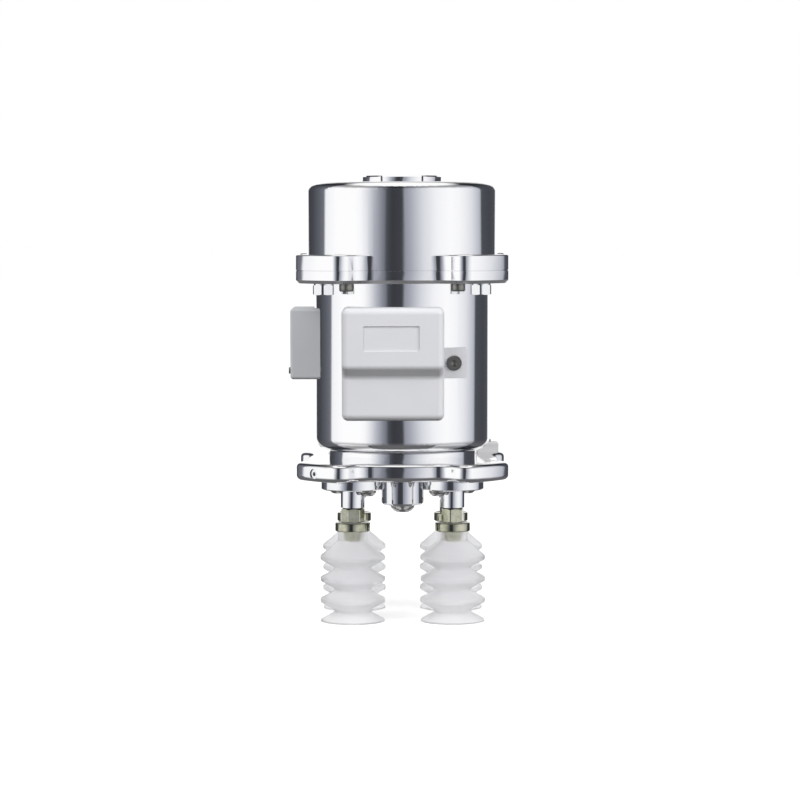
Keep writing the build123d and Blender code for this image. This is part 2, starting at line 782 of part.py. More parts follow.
disc_screw = button_screw(m4_radius, disc_screw_length, m4_button_radius, m4_button_height)
with BuildPart() as pad_flange_screws:
    with PolarLocations(pad_reach, 4, start_angle=45):
        with Locations((0, disc_screw_offset, disc_bottom_z), (0, -disc_screw_offset, disc_bottom_z)):
            add(disc_screw)
save(pad_flange_screws.part, "pad_flange_screws")

disc_seal = ring(disc_seal_radius - disc_seal_width / 2, disc_seal_width - 2 * seat_clearance,
                 plate_bottom_z - disc_seal_depth, disc_seal_depth - seat_clearance)
fitting_gasket = ring((fitting_gasket_radius + m5_radius + hole_clearance) / 2,
                      fitting_gasket_radius - m5_radius - hole_clearance,
                      hex_top_z, fitting_gasket_thickness)
for shape, name in ((disc_seal, "pad_flange_seals"), (fitting_gasket, "fitting_gaskets")):
    with BuildPart() as group:
        with PolarLocations(pad_reach, 4, start_angle=45):
            add(shape)
    save(group.part, name)

# Centre post: a hexagon bar with crowned faces, one of them to the front
with BuildPart() as centre_post:
    with BuildSketch(Plane.XY.offset(post_bottom_z)):
        with BuildLine():
            for side in range(6):
                start = math.radians(60 * side)
                end = math.radians(60 * (side + 1))
                SagittaArc(
                    (post_corner_radius * math.cos(start), post_corner_radius * math.sin(start)),
                    (post_corner_radius * math.cos(end), post_corner_radius * math.sin(end)),
                    -post_face_crown,
                )
        make_face()
    extrude(amount=post_height)
    chamfer(centre_post.edges().group_by(Axis.Z)[0], post_chamfer)
    with BuildSketch(Plane.XY.offset(post_bottom_z)):
        Circle(m5_radius + hole_clearance)
    extrude(amount=post_height, mode=Mode.SUBTRACT)
save(centre_post.part, "centre_post")
post_screw = button_screw(m5_radius, post_height + post_screw_grip, m5_button_radius, m5_button_height)
placed(post_screw, "centre_post_screw", (0, 0, post_bottom_z))

# Front cover: a stepped plastic shell that fits the round housing, with a tab on its right
cover_low_x = cover_centre_x - cover_width / 2
cover_step_z = cover_top_z - cover_step_top
cover_lower_y = cover_front_y + cover_step_depth
cover_back_y = -housing_radius / 2


def cover_side(inset):
    """Side view of the cover, or of its hollow, which is inset by the wall."""
    return (
        (cover_back_y, cover_top_z - inset),
        (cover_front_y + inset, cover_top_z - inset),
        (cover_front_y + inset, cover_step_z),
        (cover_lower_y + inset, cover_step_z - cover_step_height),
        (cover_lower_y + inset, cover_bottom_z + inset),
        (cover_back_y, cover_bottom_z + inset),
    )


with BuildPart() as front_cover:
    with BuildSketch(Plane.YZ.offset(cover_low_x)) as side_view:
        with BuildLine():
            Polyline(*cover_side(0), close=True)
        make_face()
        front_corners = side_view.vertices().filter_by(lambda v: v.Y < cover_back_y - 1)
        fillet(front_corners, cover_corner)
    extrude(amount=cover_width)
    rims = front_cover.faces().filter_by(Axis.X).edges()
    fillet(rims.filter_by(lambda e: (e @ 0.5).Y < cover_back_y - 1), cover_side_edge)
    with BuildSketch(Plane.YZ.offset(cover_low_x + cover_wall)):
        with BuildLine():
            Polyline(*cover_side(cover_wall), close=True)
        make_face()
    extrude(amount=cover_width - 2 * cover_wall, mode=Mode.SUBTRACT)
    with BuildSketch(Plane.XY.offset(cover_bottom_z)):
        Circle(housing_radius + cover_gasket)
    extrude(amount=cover_height, mode=Mode.SUBTRACT)
    with BuildSketch(Plane.XZ.offset(-cover_front_y)):
        with Locations((cover_centre_x - 0.5, cover_top_z - cover_panel_drop - cover_panel_height / 2)):
            RectangleRounded(cover_panel_width, cover_panel_height, 0.6)
    extrude(amount=-cover_panel_depth, mode=Mode.SUBTRACT)
    with BuildSketch(Plane.XZ.offset(-tab_front_y)) as tab:
        tab_root_x = tab_low_x - cover_wall / 2
        with Locations(((tab_root_x + tab_right_x) / 2, tab_top_z - tab_height / 2)):
            Rectangle(tab_right_x - tab_root_x, tab_height)
        fillet(tab.vertices().group_by(Axis.X)[-1], tab_corner)
    extrude(amount=tab_front_y - cover_back_y)
    with BuildSketch(Plane.XY.offset(cover_bottom_z)):
        Circle(housing_radius)
    extrude(amount=cover_height, mode=Mode.SUBTRACT)
    with BuildSketch(Plane.XZ.offset(-tab_front_y)):
        with Locations((tab_screw_x, tab_top_z - tab_height / 2)):
            Circle(m3_radius + hole_clearance)
    extrude(amount=-housing_radius, mode=Mode.SUBTRACT)
    with BuildSketch(Plane.XZ.offset(-tab_front_y)):
        with Locations((tab_screw_x, tab_top_z - tab_height / 2)):
            Circle(m3_head_radius + hole_clearance)
    extrude(amount=-tab_screw_sink, mode=Mode.SUBTRACT)
save(front_cover.part, "front_cover")

with BuildPart() as front_cover_gasket:
    with BuildSketch(Plane.XZ.offset(-cover_back_y)):
        with Locations((cover_centre_x, cover_top_z - cover_height / 2)):
            Rectangle(cover_width - cover_wall, cover_height - cover_wall)
            Rectangle(cover_width - 2 * cover_wall, cover_height - 2 * cover_wall, mode=Mode.SUBTRACT)
    extrude(amount=housing_radius)
    with BuildSketch(Plane.XY.offset(cover_bottom_z)):
        Circle(housing_radius + cover_gasket)
        Circle(housing_radius, mode=Mode.SUBTRACT)
    extrude(amount=cover_height, mode=Mode.INTERSECT)
save(front_cover_gasket.part, "front_cover_gasket")

tab_screw = cap_screw(m3_radius, tab_screw_length, m3_head_radius, m3_head_height)
placed(tab_screw, "front_cover_screw",
       Location((tab_screw_x, tab_front_y + tab_screw_sink, tab_top_z - tab_height / 2), (-90, 0, 0)))

# Switch cover on the left, with a post inside for its screw
switch_cover_bottom_z = switch_cover_top_z - switch_cover_height
switch_middle_z = switch_cover_top_z - switch_cover_height / 2
switch_screw_z = switch_cover_bottom_z + switch_screw_rise
with BuildPart() as switch_cover:
    with BuildSketch(Plane.YZ.offset(switch_cover_left_x)):
        with Locations((0, switch_middle_z)):
            Rectangle(2 * switch_cover_half_depth, switch_cover_height)
    extrude(amount=-switch_cover_left_x - housing_radius / 2)
    outer_rim = switch_cover.faces().sort_by(Axis.X)[0].edges()
    corners_along_x = switch_cover.edges().filter_by(Axis.X)
    fillet(outer_rim + corners_along_x, switch_cover_edge)
    with BuildSketch(Plane.YZ.offset(switch_cover_left_x + switch_cover_wall)):
        with Locations((0, switch_middle_z)):
            Rectangle(2 * (switch_cover_half_depth - switch_cover_wall),
                      switch_cover_height - 2 * switch_cover_wall)
        with Locations((0, switch_screw_z)):
            Rectangle(2 * switch_screw_post, 2 * switch_screw_post, mode=Mode.SUBTRACT)
    extrude(amount=housing_radius, mode=Mode.SUBTRACT)
    with BuildSketch(Plane.XY.offset(switch_cover_bottom_z)):
        Circle(housing_radius + switch_gasket_thickness)
    extrude(amount=switch_cover_height, mode=Mode.SUBTRACT)
    with BuildSketch(Plane.YZ.offset(switch_cover_left_x)):
        with Locations((0, switch_screw_z)):
            Circle(m2_radius + hole_clearance)
    extrude(amount=housing_radius, mode=Mode.SUBTRACT)
save(switch_cover.part, "switch_cover")

with BuildPart() as switch_gasket:
    with BuildSketch(Plane.YZ.offset(-housing_radius / 2)):
        with Locations((0, switch_middle_z)):
            Rectangle(2 * switch_cover_half_depth - switch_cover_wall, switch_cover_height - switch_cover_wall)
            Rectangle(2 * (switch_cover_half_depth - switch_cover_wall),
                      switch_cover_height - 2 * switch_cover_wall, mode=Mode.SUBTRACT)
    extrude(amount=-housing_radius)
    with BuildSketch(Plane.XY.offset(switch_cover_bottom_z)):
        Circle(housing_radius + switch_gasket_thickness)
        Circle(housing_radius, mode=Mode.SUBTRACT)
    extrude(amount=switch_cover_height, mode=Mode.INTERSECT)
save(switch_gasket.part, "switch_gasket")

switch_screw = cap_screw(m2_radius, switch_screw_length, m2_head_radius, m2_head_height)
placed(switch_screw, "switch_cover_screw",
       Location((switch_cover_left_x, 0, switch_screw_z), (0, 90, 0)))

# Pressure switch, which looks through the window into the housing
with BuildPart() as pressure_switch:
    switch_outer_x = switch_cover_left_x + switch_cover_wall + switch_body_clearance
    with BuildSketch(Plane.YZ.offset(switch_outer_x)):
        with Locations((0, switch_middle_z + switch_screw_post)):
            Rectangle(2 * (switch_window_half_depth - switch_body_clearance),
                      switch_window_height - 2 * switch_body_clearance)
    extrude(amount=switch_body_inner_x - switch_outer_x)
    chamfer(pressure_switch.edges().filter_by(Axis.X), switch_body_edge)
    with BuildSketch(Plane.YZ.offset(switch_body_inner_x)):
        with Locations((0, switch_middle_z + switch_screw_post)):
            Circle(switch_port_radius)
    extrude(amount=switch_port_length)
save(pressure_switch.part, "pressure_switch")

# Connector on the rear: threaded shell with a collar, insert with four pins, lock nut inside
rear_plane = Plane(origin=(0, rear_boss_face_y, connector_z), z_dir=(0, 1, 0))
with BuildPart() as connector_shell:
    inner_length = rear_boss_face_y - connector_inner_end_y
    with BuildSketch(rear_plane.offset(-inner_length)):
        Circle(connector_thread_radius)
    extrude(amount=connector_shell_length)
    with BuildSketch(rear_plane):
        Circle(connector_collar_radius)
    extrude(amount=connector_collar_height)
    chamfer(connector_shell.edges().group_by(Axis.Y)[-1], 0.3)
    with BuildSketch(rear_plane.offset(-inner_length)):
        Circle(connector_bore_radius)
    extrude(amount=connector_shell_length, mode=Mode.SUBTRACT)
save(connector_shell.part, "connector_shell")

with BuildPart() as connector_insert:
    with BuildSketch(rear_plane.offset(-inner_length)):
        Circle(connector_bore_radius - ejector_fit)
    extrude(amount=inner_length + connector_collar_height)
    with BuildSketch(rear_plane.offset(connector_collar_height)):
        with PolarLocations(connector_pin_circle_radius, 4, start_angle=45):
            Circle(connector_pin_radius)
    extrude(amount=connector_pin_length)
save(connector_insert.part, "connector_insert")

with BuildPart() as connector_nut:
    with BuildSketch(Plane(origin=(0, connector_inner_end_y, connector_z), z_dir=(0, 1, 0))):
        RegularPolygon(connector_nut_flats / 2, 6, major_radius=False)
        Circle(connector_thread_radius + thread_clearance, mode=Mode.SUBTRACT)
    extrude(amount=connector_nut_height)
save(connector_nut.part, "connector_nut")

# Air inlet: threaded stub, hexagon, body and the ring that lets the tube go
inlet_plane = Plane(origin=(0, rear_boss_face_y, inlet_z), z_dir=(0, 1, 0))
inlet_face = inlet_hex_length + inlet_body_length
with BuildPart() as air_inlet_fitting:
    with BuildSketch(inlet_plane):
        RegularPolygon(inlet_flats / 2, 6, major_radius=False)
    extrude(amount=inlet_hex_length)
    with BuildSketch(inlet_plane.offset(inlet_hex_length)):
        Circle(inlet_body_radius)
    extrude(amount=inlet_body_length)
    chamfer(air_inlet_fitting.edges().group_by(Axis.Y)[-1], 0.4)
    with BuildSketch(inlet_plane):
        Circle(inlet_thread_radius)
    extrude(amount=-(rear_boss_face_y - connector_inner_end_y))
    with BuildSketch(inlet_plane.offset(inlet_face)):
        Circle(inlet_tube_radius)
    extrude(amount=-inlet_tube_depth, mode=Mode.SUBTRACT)
    with BuildSketch(inlet_plane.offset(inlet_face)):
        Circle(supply_tube_bore)
    extrude(amount=-(inlet_face + rear_boss_face_y), mode=Mode.SUBTRACT)
save(air_inlet_fitting.part, "air_inlet_fitting")

with BuildPart() as air_inlet_ring:
    with BuildSketch(inlet_plane.offset(inlet_face)):
        Circle(release_ring_radius)
        Circle(inlet_tube_radius, mode=Mode.SUBTRACT)
    extrude(amount=release_ring_length)
save(air_inlet_ring.part, "air_inlet_ring")

with BuildPart() as supply_tube:
    with BuildSketch(Plane(origin=(0, block_half_depth, inlet_z), z_dir=(0, 1, 0))):
        Circle(supply_tube_radius)
        Circle(supply_tube_bore, mode=Mode.SUBTRACT)
    extrude(amount=connector_inner_end_y - block_half_depth)
save(supply_tube.part, "supply_tube")

# Exhaust cover on the rear right lobe, with slots in its outer wall
exhaust_middle_x = (exhaust_low_x + exhaust_high_x) / 2
exhaust_middle_y = (exhaust_low_y + exhaust_high_y) / 2
with BuildPart() as exhaust_cover:
    with BuildSketch(Plane.XZ.offset(-exhaust_high_y)):
        with BuildLine():
            Polyline(
                (exhaust_low_x, plate_top_z),
                (exhaust_high_x, plate_top_z),
                (exhaust_high_x, plate_top_z + exhaust_height),
                (exhaust_low_x + exhaust_slope, plate_top_z + exhaust_height),
                (exhaust_low_x, plate_top_z + exhaust_height / 2),
                close=True,
            )
        make_face()
    extrude(amount=exhaust_depth)
    fillet(exhaust_cover.edges().group_by(Axis.Z)[-1], exhaust_edge)
    with BuildSketch(Plane.XY.offset(plate_top_z)):
        with Locations((exhaust_middle_x, exhaust_middle_y)):
            Rectangle(exhaust_width - 2 * exhaust_wall, exhaust_depth - 2 * exhaust_wall)
        with Locations((exhaust_middle_x, exhaust_high_y - exhaust_screw_inset)):
            Circle(m2_head_radius + exhaust_wall / 2, mode=Mode.SUBTRACT)
    extrude(amount=exhaust_height - exhaust_wall, mode=Mode.SUBTRACT)
    with BuildSketch(Plane.YZ.offset(exhaust_high_x - exhaust_wall)):
        with Locations((exhaust_middle_y, plate_top_z)):
            with GridLocations(exhaust_slot_pitch, 1, exhaust_slot_count, 1):
                Rectangle(exhaust_slot_width, exhaust_height)
    extrude(amount=2 * exhaust_wall, mode=Mode.SUBTRACT)
    with BuildSketch(Plane.XY.offset(plate_top_z)):
        with Locations((exhaust_middle_x, exhaust_high_y - exhaust_screw_inset)):
            Circle(m2_radius + hole_clearance)
    extrude(amount=exhaust_height, mode=Mode.SUBTRACT)
save(exhaust_cover.part, "exhaust_cover")
exhaust_screw = cap_screw(m2_radius, exhaust_height + exhaust_screw_bite, m2_head_radius, m2_head_height)
placed(exhaust_screw, "exhaust_cover_screw",
       Location((exhaust_middle_x, exhaust_high_y - exhaust_screw_inset, plate_top_z + exhaust_height),
                (180, 0, 0)))

# Inner manifold: block on the housing's floor with an upright that carries the valves
with BuildPart() as inner_manifold:
    with BuildSketch(Plane.XY.offset(floor_z)):
        with Locations(((block_low_x + block_high_x) / 2, 0)):
            Rectangle(block_high_x - block_low_x, 2 * block_half_depth)
    extrude(amount=block_height)
    with BuildSketch(Plane.XY.offset(floor_z)):
        with Locations(((upright_low_x + upright_high_x) / 2, (upright_front_y + upright_rear_y) / 2)):
            Rectangle(upright_high_x - upright_low_x, upright_rear_y - upright_front_y)
    extrude(amount=upright_top_z - floor_z)
    with BuildSketch(Plane.XY.offset(block_top_z)):
        with Locations((filter_x, 0)):
            Circle(filter_radius + filter_fit)
    extrude(amount=-(filter_length + filter_cap_height), mode=Mode.SUBTRACT)
    with BuildSketch(Plane.XY.offset(block_top_z)):
        with Locations((filter_x, 0)):
            Circle(filter_cap_radius + thread_clearance)
    extrude(amount=-filter_cap_height, mode=Mode.SUBTRACT)
    with BuildSketch(Plane.XY.offset(floor_z)):
        with Locations((channel_radius, 0)):
            Circle(feed_radius)
    extrude(amount=block_height / 2, mode=Mode.SUBTRACT)
    with BuildSketch(Plane.XY.offset(floor_z)):
        with Locations((block_screw_x, block_screw_y), (block_screw_x, -block_screw_y)):
            Circle(m3_radius + hole_clearance)
    extrude(amount=block_height, mode=Mode.SUBTRACT)
    with BuildSketch(Plane.XZ.offset(-block_half_depth)):
        with Locations((0, inlet_z)):
            Circle(supply_tube_bore)
        with Locations((standoff_x, block_top_z - standoff_drop), (-standoff_x, block_top_z - standoff_drop)):
            Circle(m2_radius + thread_clearance)
    extrude(amount=block_half_depth / 2, mode=Mode.SUBTRACT)
save(inner_manifold.part, "inner_manifold")
block_screw = cap_screw(m3_radius, block_screw_length, m3_head_radius, m3_head_height)
placed(block_screw, "inner_manifold_screws",
       *[Location((block_screw_x, y, block_top_z), (180, 0, 0)) for y in (block_screw_y, -block_screw_y)])

# Ejector: body with a through bore, nozzle at its left, diffuser at its right, then the silencer
ejector_z = block_top_z + ejector_height / 2
ejector_plane = Plane(origin=(ejector_low_x, 0, ejector_z), x_dir=(0, 1, 0), z_dir=(1, 0, 0))
ejector_length = ejector_high_x - ejector_low_x
with BuildPart() as ejector_body:
    with BuildSketch(ejector_plane):
        Rectangle(2 * ejector_half_depth, ejector_height)
        Circle(ejector_bore_radius + ejector_fit, mode=Mode.SUBTRACT)
    extrude(amount=ejector_length)
    chamfer(ejector_body.edges().filter_by(Axis.X).group_by(Axis.Z)[-1], 1.0)
save(ejector_body.part, "ejector_body")


def ejector_insert(start_x, length, entry_radius, exit_radius):
    """A turned insert in the ejector's bore whose own bore tapers from one end to the other."""
    with BuildPart() as insert:
        with BuildSketch(Plane.XZ):
            with BuildLine():
                Polyline(
                    (start_x, ejector_z + entry_radius),
                    (start_x + length, ejector_z + exit_radius),
                    (start_x + length, ejector_z + ejector_bore_radius),
                    (start_x, ejector_z + ejector_bore_radius),
                    close=True,
                )
            make_face()
        revolve(axis=Axis((0, 0, ejector_z), (1, 0, 0)))
    return insert.part


nozzle = ejector_insert(ejector_low_x, nozzle_length, 2 * nozzle_throat_radius, nozzle_throat_radius)
save(nozzle, "ejector_nozzle")
diffuser = ejector_insert(ejector_high_x - diffuser_length, diffuser_length,
                          diffuser_throat_radius, diffuser_mouth_radius)
save(diffuser, "ejector_diffuser")
with BuildPart() as silencer:
    with BuildSketch(ejector_plane.offset(ejector_length)):
        Circle(silencer_radius)
        Circle(silencer_bore_radius, mode=Mode.SUBTRACT)
    extrude(amount=silencer_length)
save(silencer.part, "silencer")

# Valves: two sealed pilot valves on the upright, their solenoid heads inside the front cover
for name, sign in (("supply_valve", -1), ("release_valve", 1)):
    valve_x = valve_centre_x + sign * (valve_width + valve_gap) / 2
    with BuildPart() as valve:
        with BuildSketch(Plane.YZ.offset(valve_x - valve_width / 2)):
            with BuildLine():
                Polyline(
                    (upright_front_y, valve_low_z),
                    (upright_front_y, valve_low_z + valve_height),
                    (valve_head_front_y, valve_low_z + valve_height),
                    (valve_head_front_y, valve_low_z + valve_height - valve_head_height),
                    (valve_front_y, valve_low_z + valve_height - valve_head_height),
                    (valve_front_y, valve_low_z),
                    close=True,
                )
            make_face()
        extrude(amount=valve_width)
        chamfer(valve.edges().filter_by(Axis.X).group_by(Axis.Z)[-1], 0.6)
    save(valve.part, name)

# Suction filter in its pocket, under a screwed cap
with BuildPart() as suction_filter:
    with BuildSketch(Plane.XY.offset(block_top_z - filter_cap_height - filter_length)):
        with Locations((filter_x, 0)):
            Circle(filter_radius)
            Circle(filter_bore_radius, mode=Mode.SUBTRACT)
    extrude(amount=filter_length)
save(suction_filter.part, "suction_filter")
with BuildPart() as filter_cap:
    with BuildSketch(Plane.XY.offset(block_top_z - filter_cap_height)):
        with Locations((filter_x, 0)):
            Circle(filter_cap_radius)
    extrude(amount=filter_cap_height)
save(filter_cap.part, "filter_cap")

# Control board behind the block, on two standoffs
board_front_y = block_half_depth + standoff_length
board_low_z = floor_z + board_rise
standoff_z = block_top_z - standoff_drop
with BuildPart() as control_board:
    with BuildSketch(Plane.XZ.offset(-board_front_y - board_thickness)):
        with Locations((0, board_low_z + board_height / 2)):
            Rectangle(2 * board_half_width, board_height)
        with Locations((standoff_x, standoff_z), (-standoff_x, standoff_z)):
            Circle(m2_radius + hole_clearance, mode=Mode.SUBTRACT)
    extrude(amount=board_thickness)
    for (chip_width, chip_depth), (chip_x, chip_rise) in zip(chip_sizes, chip_places):
        with BuildSketch(Plane.XZ.offset(-board_front_y - board_thickness - chip_height)):
            with Locations((chip_x, board_low_z + chip_rise)):
                Rectangle(chip_width, chip_depth)
        extrude(amount=chip_height)
save(control_board.part, "control_board")

with BuildPart() as board_standoffs:
    with BuildSketch(Plane.XZ.offset(-board_front_y)):
        with Locations((standoff_x, standoff_z), (-standoff_x, standoff_z)):
            Circle(standoff_radius)
            Circle(m2_radius + hole_clearance, mode=Mode.SUBTRACT)
    extrude(amount=standoff_length)
save(board_standoffs.part, "board_standoffs")
board_screw = cap_screw(m2_radius, board_screw_length, m2_head_radius, m2_head_height)
placed(board_screw, "board_screws",
       *[Location((x, board_front_y + board_thickness, standoff_z), (90, 0, 0))
         for x in (standoff_x, -standoff_x)])
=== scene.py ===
"""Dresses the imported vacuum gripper: finishes, bellows cups, detailed screws, a thread and a pale studio."""

import math

import bmesh
import bpy
from mathutils import Matrix, Vector


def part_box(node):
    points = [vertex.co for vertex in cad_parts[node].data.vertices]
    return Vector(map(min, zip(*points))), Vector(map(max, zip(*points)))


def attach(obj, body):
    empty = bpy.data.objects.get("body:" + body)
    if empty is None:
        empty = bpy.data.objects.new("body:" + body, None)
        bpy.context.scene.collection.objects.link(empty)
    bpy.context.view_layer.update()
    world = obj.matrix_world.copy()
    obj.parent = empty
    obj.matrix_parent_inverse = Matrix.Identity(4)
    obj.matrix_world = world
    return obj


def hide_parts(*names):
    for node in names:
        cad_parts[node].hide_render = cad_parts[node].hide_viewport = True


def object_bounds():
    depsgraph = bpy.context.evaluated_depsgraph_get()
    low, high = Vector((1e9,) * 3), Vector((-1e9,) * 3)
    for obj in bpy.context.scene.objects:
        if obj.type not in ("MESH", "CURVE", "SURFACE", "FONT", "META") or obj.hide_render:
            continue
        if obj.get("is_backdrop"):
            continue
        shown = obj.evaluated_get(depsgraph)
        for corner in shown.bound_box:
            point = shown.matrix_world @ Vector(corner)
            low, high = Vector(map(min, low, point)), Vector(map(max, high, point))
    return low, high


bl_info = {
    "name": "Vacuum gripper dressing",
    "version": (1, 0, 0),
    "blender": (4, 5, 0),
    "location": "3D View > Sidebar > Gripper",
    "description": "Gives the packed vacuum gripper its finishes, cups, screws and studio",
    "category": "Object",
}

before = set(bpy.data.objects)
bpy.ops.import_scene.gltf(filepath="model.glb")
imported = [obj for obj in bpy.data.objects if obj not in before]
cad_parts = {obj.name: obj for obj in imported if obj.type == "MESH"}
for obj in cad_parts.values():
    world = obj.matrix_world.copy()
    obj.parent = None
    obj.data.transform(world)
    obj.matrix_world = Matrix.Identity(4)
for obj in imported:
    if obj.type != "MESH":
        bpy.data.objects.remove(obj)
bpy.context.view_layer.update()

CORNER_ANGLES = {"rear_right": 45, "rear_left": 135, "front_left": 225, "front_right": 315}
CORNERS = tuple(CORNER_ANGLES)
MM = 0.001

# How far each hexagon happened to stop, in degrees, as the photo shows it for the front ones
FITTING_TURNS = {"rear_right": 4, "rear_left": 22, "front_left": 8, "front_right": 18}
BOLT_TURNS = (12, 40, 25, 30)


# Sizes and colours that a user would change


def number(name, description, default, **more):
    """A number property."""
    return bpy.props.FloatProperty(name=name, description=description, default=default, **more)


def whole(name, description, default, low, high):
    """A whole number property."""
    return bpy.props.IntProperty(name=name, description=description, default=default, min=low, max=high)


def length(name, description, default):
    """A length property in metres."""
    return number(name, description, default, min=0.0, unit="LENGTH", subtype="DISTANCE", precision=5)


def share(name, description, default):
    """A factor from 0 to 1."""
    return number(name, description, default, min=0.0, max=1.0, subtype="FACTOR")


def tilt(name, description, degrees):
    """An angle property."""
    return number(name, description, math.radians(degrees), unit="ROTATION", subtype="ANGLE")


def tint(name, description, default):
    """A colour property."""
    return bpy.props.FloatVectorProperty(
        name=name, description=description, default=default, size=3, min=0.0, max=1.0, subtype="COLOR"
    )


class BellowsSizes(bpy.types.PropertyGroup):
    """Sizes of one bellows cup, taken from the CAD cup's box where they can be."""

    neck_radius: length("Neck radius", "Outside of the straight neck", 5.7 * MM)
    neck_length: length("Neck length", "Straight part under the hexagon", 7.0 * MM)
    first_slope: length("First slope", "From the neck's end down to the first fold", 6.7 * MM)
    fold_pitch: length("Fold pitch", "From one fold to the next", 8.3 * MM)
    fold_radius: length("Fold radius", "Outside of a fold", 12.55 * MM)
    fold_edge: length("Fold edge", "Height of a fold's rounded edge", 1.5 * MM)
    valley_radius: length("Valley radius", "Outside of the waist between folds", 6.3 * MM)
    wall: length("Wall", "Thickness of the rubber at a waist", 1.0 * MM)
    fold_wall: length("Fold wall", "Thickness of the rubber at a fold", 2.2 * MM)
    lip_radius: length("Lip radius", "Outside of the lip", 12.4 * MM)
    lip_wall: length("Lip wall", "Thickness of the lip's edge", 0.7 * MM)
    barb_radius: length("Barb radius", "Inside of the neck", 3.95 * MM)
    barb_length: length("Barb length", "How far the barb reaches into the neck", 7.95 * MM)
    folds: whole("Folds", "Number of folds", 3, 1, 8)


class ScrewSizes(bpy.types.PropertyGroup):
    """Detail of the screw heads."""

    knurl_ribs: whole("Knurl ribs", "Ribs round the head of a cap screw", 44, 8, 90)
    knurl_depth: length("Knurl depth", "Depth of the grooves between the ribs", 0.06 * MM)
    thread_pitch: length("Thread pitch", "Pitch of the connector's thread", 1.0 * MM)
    thread_height: length("Thread height", "How far a thread stands proud", 0.12 * MM)


class GripperFinishes(bpy.types.PropertyGroup):
    """Colours and gloss of the gripper."""

    aluminium: tint("Aluminium", "Polished housing, cap and manifold", (0.885, 0.885, 0.895))
    aluminium_roughness: share("Aluminium roughness", "Gloss of the polished aluminium", 0.075)
    turned: tint("Turned aluminium", "Pad flanges and centre post", (0.82, 0.825, 0.84))
    chrome: tint("Plated steel", "Ear bolts", (0.80, 0.81, 0.82))
    stainless: tint("Stainless steel", "Button head screws", (0.62, 0.62, 0.61))
    dark_steel: tint("Dark steel", "Cap screws", (0.34, 0.335, 0.305))
    nickel: tint("Nickel plated brass", "Fittings, clamp rings and connector", (0.52, 0.515, 0.41))
    silicone: tint("Silicone", "Bellows cups", (0.99, 0.99, 0.995))
    cover: tint("Cover plastic", "Front cover", (0.70, 0.705, 0.73))
    switch: tint("Switch plastic", "Switch cover", (0.575, 0.59, 0.615))


class StudioSettings(bpy.types.PropertyGroup):
    """Camera and light."""

    camera_place: bpy.props.FloatVectorProperty(
        name="Camera place",
        description="Where the camera stands",
        default=(-0.00094, -1.150, -0.0121),
        size=3,
        unit="LENGTH",
        subtype="TRANSLATION",
        precision=5,
    )
    camera_pitch: tilt("Camera pitch", "How far the camera looks down", 3.658)
    camera_roll: tilt("Camera roll", "How far the camera leans", -0.107)
    camera_lens: number("Camera lens", "Focal length on a 36 mm sensor", 131.52, unit="CAMERA")
    floor: tint("Floor", "Colour of the floor", (0.74, 0.74, 0.74))
    softbox: number("Softbox level", "Brightness of the white that metal reflects", 1.11, min=0.0)
    daylight: number("Room level", "Light of the room on matt surfaces", 0.80, min=0.0)
    key_power: number("Key power", "Power of the lamp on the left, in watts", 6.0, min=0.0)
    fill_power: number("Fill power", "Power of the lamp on the right, in watts", 6.5, min=0.0)


# Node helpers


# Space between two nodes in the node editor
NODE_STEP = 190


class Tree:
    """Adds nodes to a node tree and links them."""

    def __init__(self, tree):
        self.tree = tree
        self.across = 0

    def node(self, kind, **values):
        """A new node of that type, to the right of the last one, with its settings and its inputs."""
        made = self.tree.nodes.new(kind)
        made.location = (self.across, 0)
        self.across += NODE_STEP
        inputs = {}
        for key, value in values.items():
            if hasattr(made, key):
                setattr(made, key, value)
            else:
                inputs[key] = value
        return self.set(made, **inputs)

    def set(self, made, **values):
        """Fills inputs, by number (i0) or by name (_ for a space), with values, sockets or nodes."""
        for key, value in values.items():
            numbered = key[0] == "i" and key[1:].isdigit()
            socket = made.inputs[int(key[1:]) if numbered else key.replace("_", " ")]
            if isinstance(value, bpy.types.Node):
                value = value.outputs[0]
            if isinstance(value, bpy.types.NodeSocket):
                self.tree.links.new(value, socket)
            else:
                socket.default_value = value
        return made

    def math(self, operation, first, second=0.0, third=None, clamp=False):
        """Result of a Math node."""
        made = self.node("ShaderNodeMath", operation=operation, use_clamp=clamp, i0=first, i1=second)
        if third is not None:
            self.set(made, i2=third)
        return made.outputs[0]

    def mix(self, factor, first, second):
        """Colour between first and second."""
        return self.node("ShaderNodeMix", data_type="RGBA", i0=factor, i6=first, i7=second).outputs[2]

    def scaled(self, color, factor):
        """Colour times a number."""
        return self.node("ShaderNodeVectorMath", operation="SCALE", i0=color, Scale=factor).outputs[0]

    def height(self, vector):
        """Height of a place."""
        return self.node("ShaderNodeSeparateXYZ", Vector=vector).outputs[2]

    def noise(self, vector, scale, detail=2.0, roughness=0.5):
        """Factor of a Noise Texture."""
        made = self.node("ShaderNodeTexNoise", Vector=vector, Scale=scale, Detail=detail)
        return self.set(made, Roughness=roughness).outputs[0]

    def rows(self, along, detail):
        """Factor of a noise that changes along one line only."""
        made = self.node("ShaderNodeTexNoise", noise_dimensions="1D", W=along, Scale=1.0, Detail=detail)
        return made.outputs[0]

    def remap(self, value, low, high, to_low, to_high):
        """Value carried from one range to another, held inside it."""
        made = self.node("ShaderNodeMapRange", i0=value, i1=low, i2=high, i3=to_low, i4=to_high)
        return made.outputs[0]

    def wander(self, noise, amount, start, clamp=False):
        """A start value that a noise raises and lowers by half the amount."""
        return self.math("MULTIPLY_ADD", self.math("SUBTRACT", noise, 0.5), amount, start, clamp)

    def coat(self, geometry, given, result):
        """Ends a Geometry Nodes tree: real geometry with the given material."""
        real = self.node("GeometryNodeRealizeInstances", Geometry=geometry)
        coated = self.node("GeometryNodeSetMaterial", Geometry=real, Material=given["Material"])
        self.set(result, Geometry=coated)


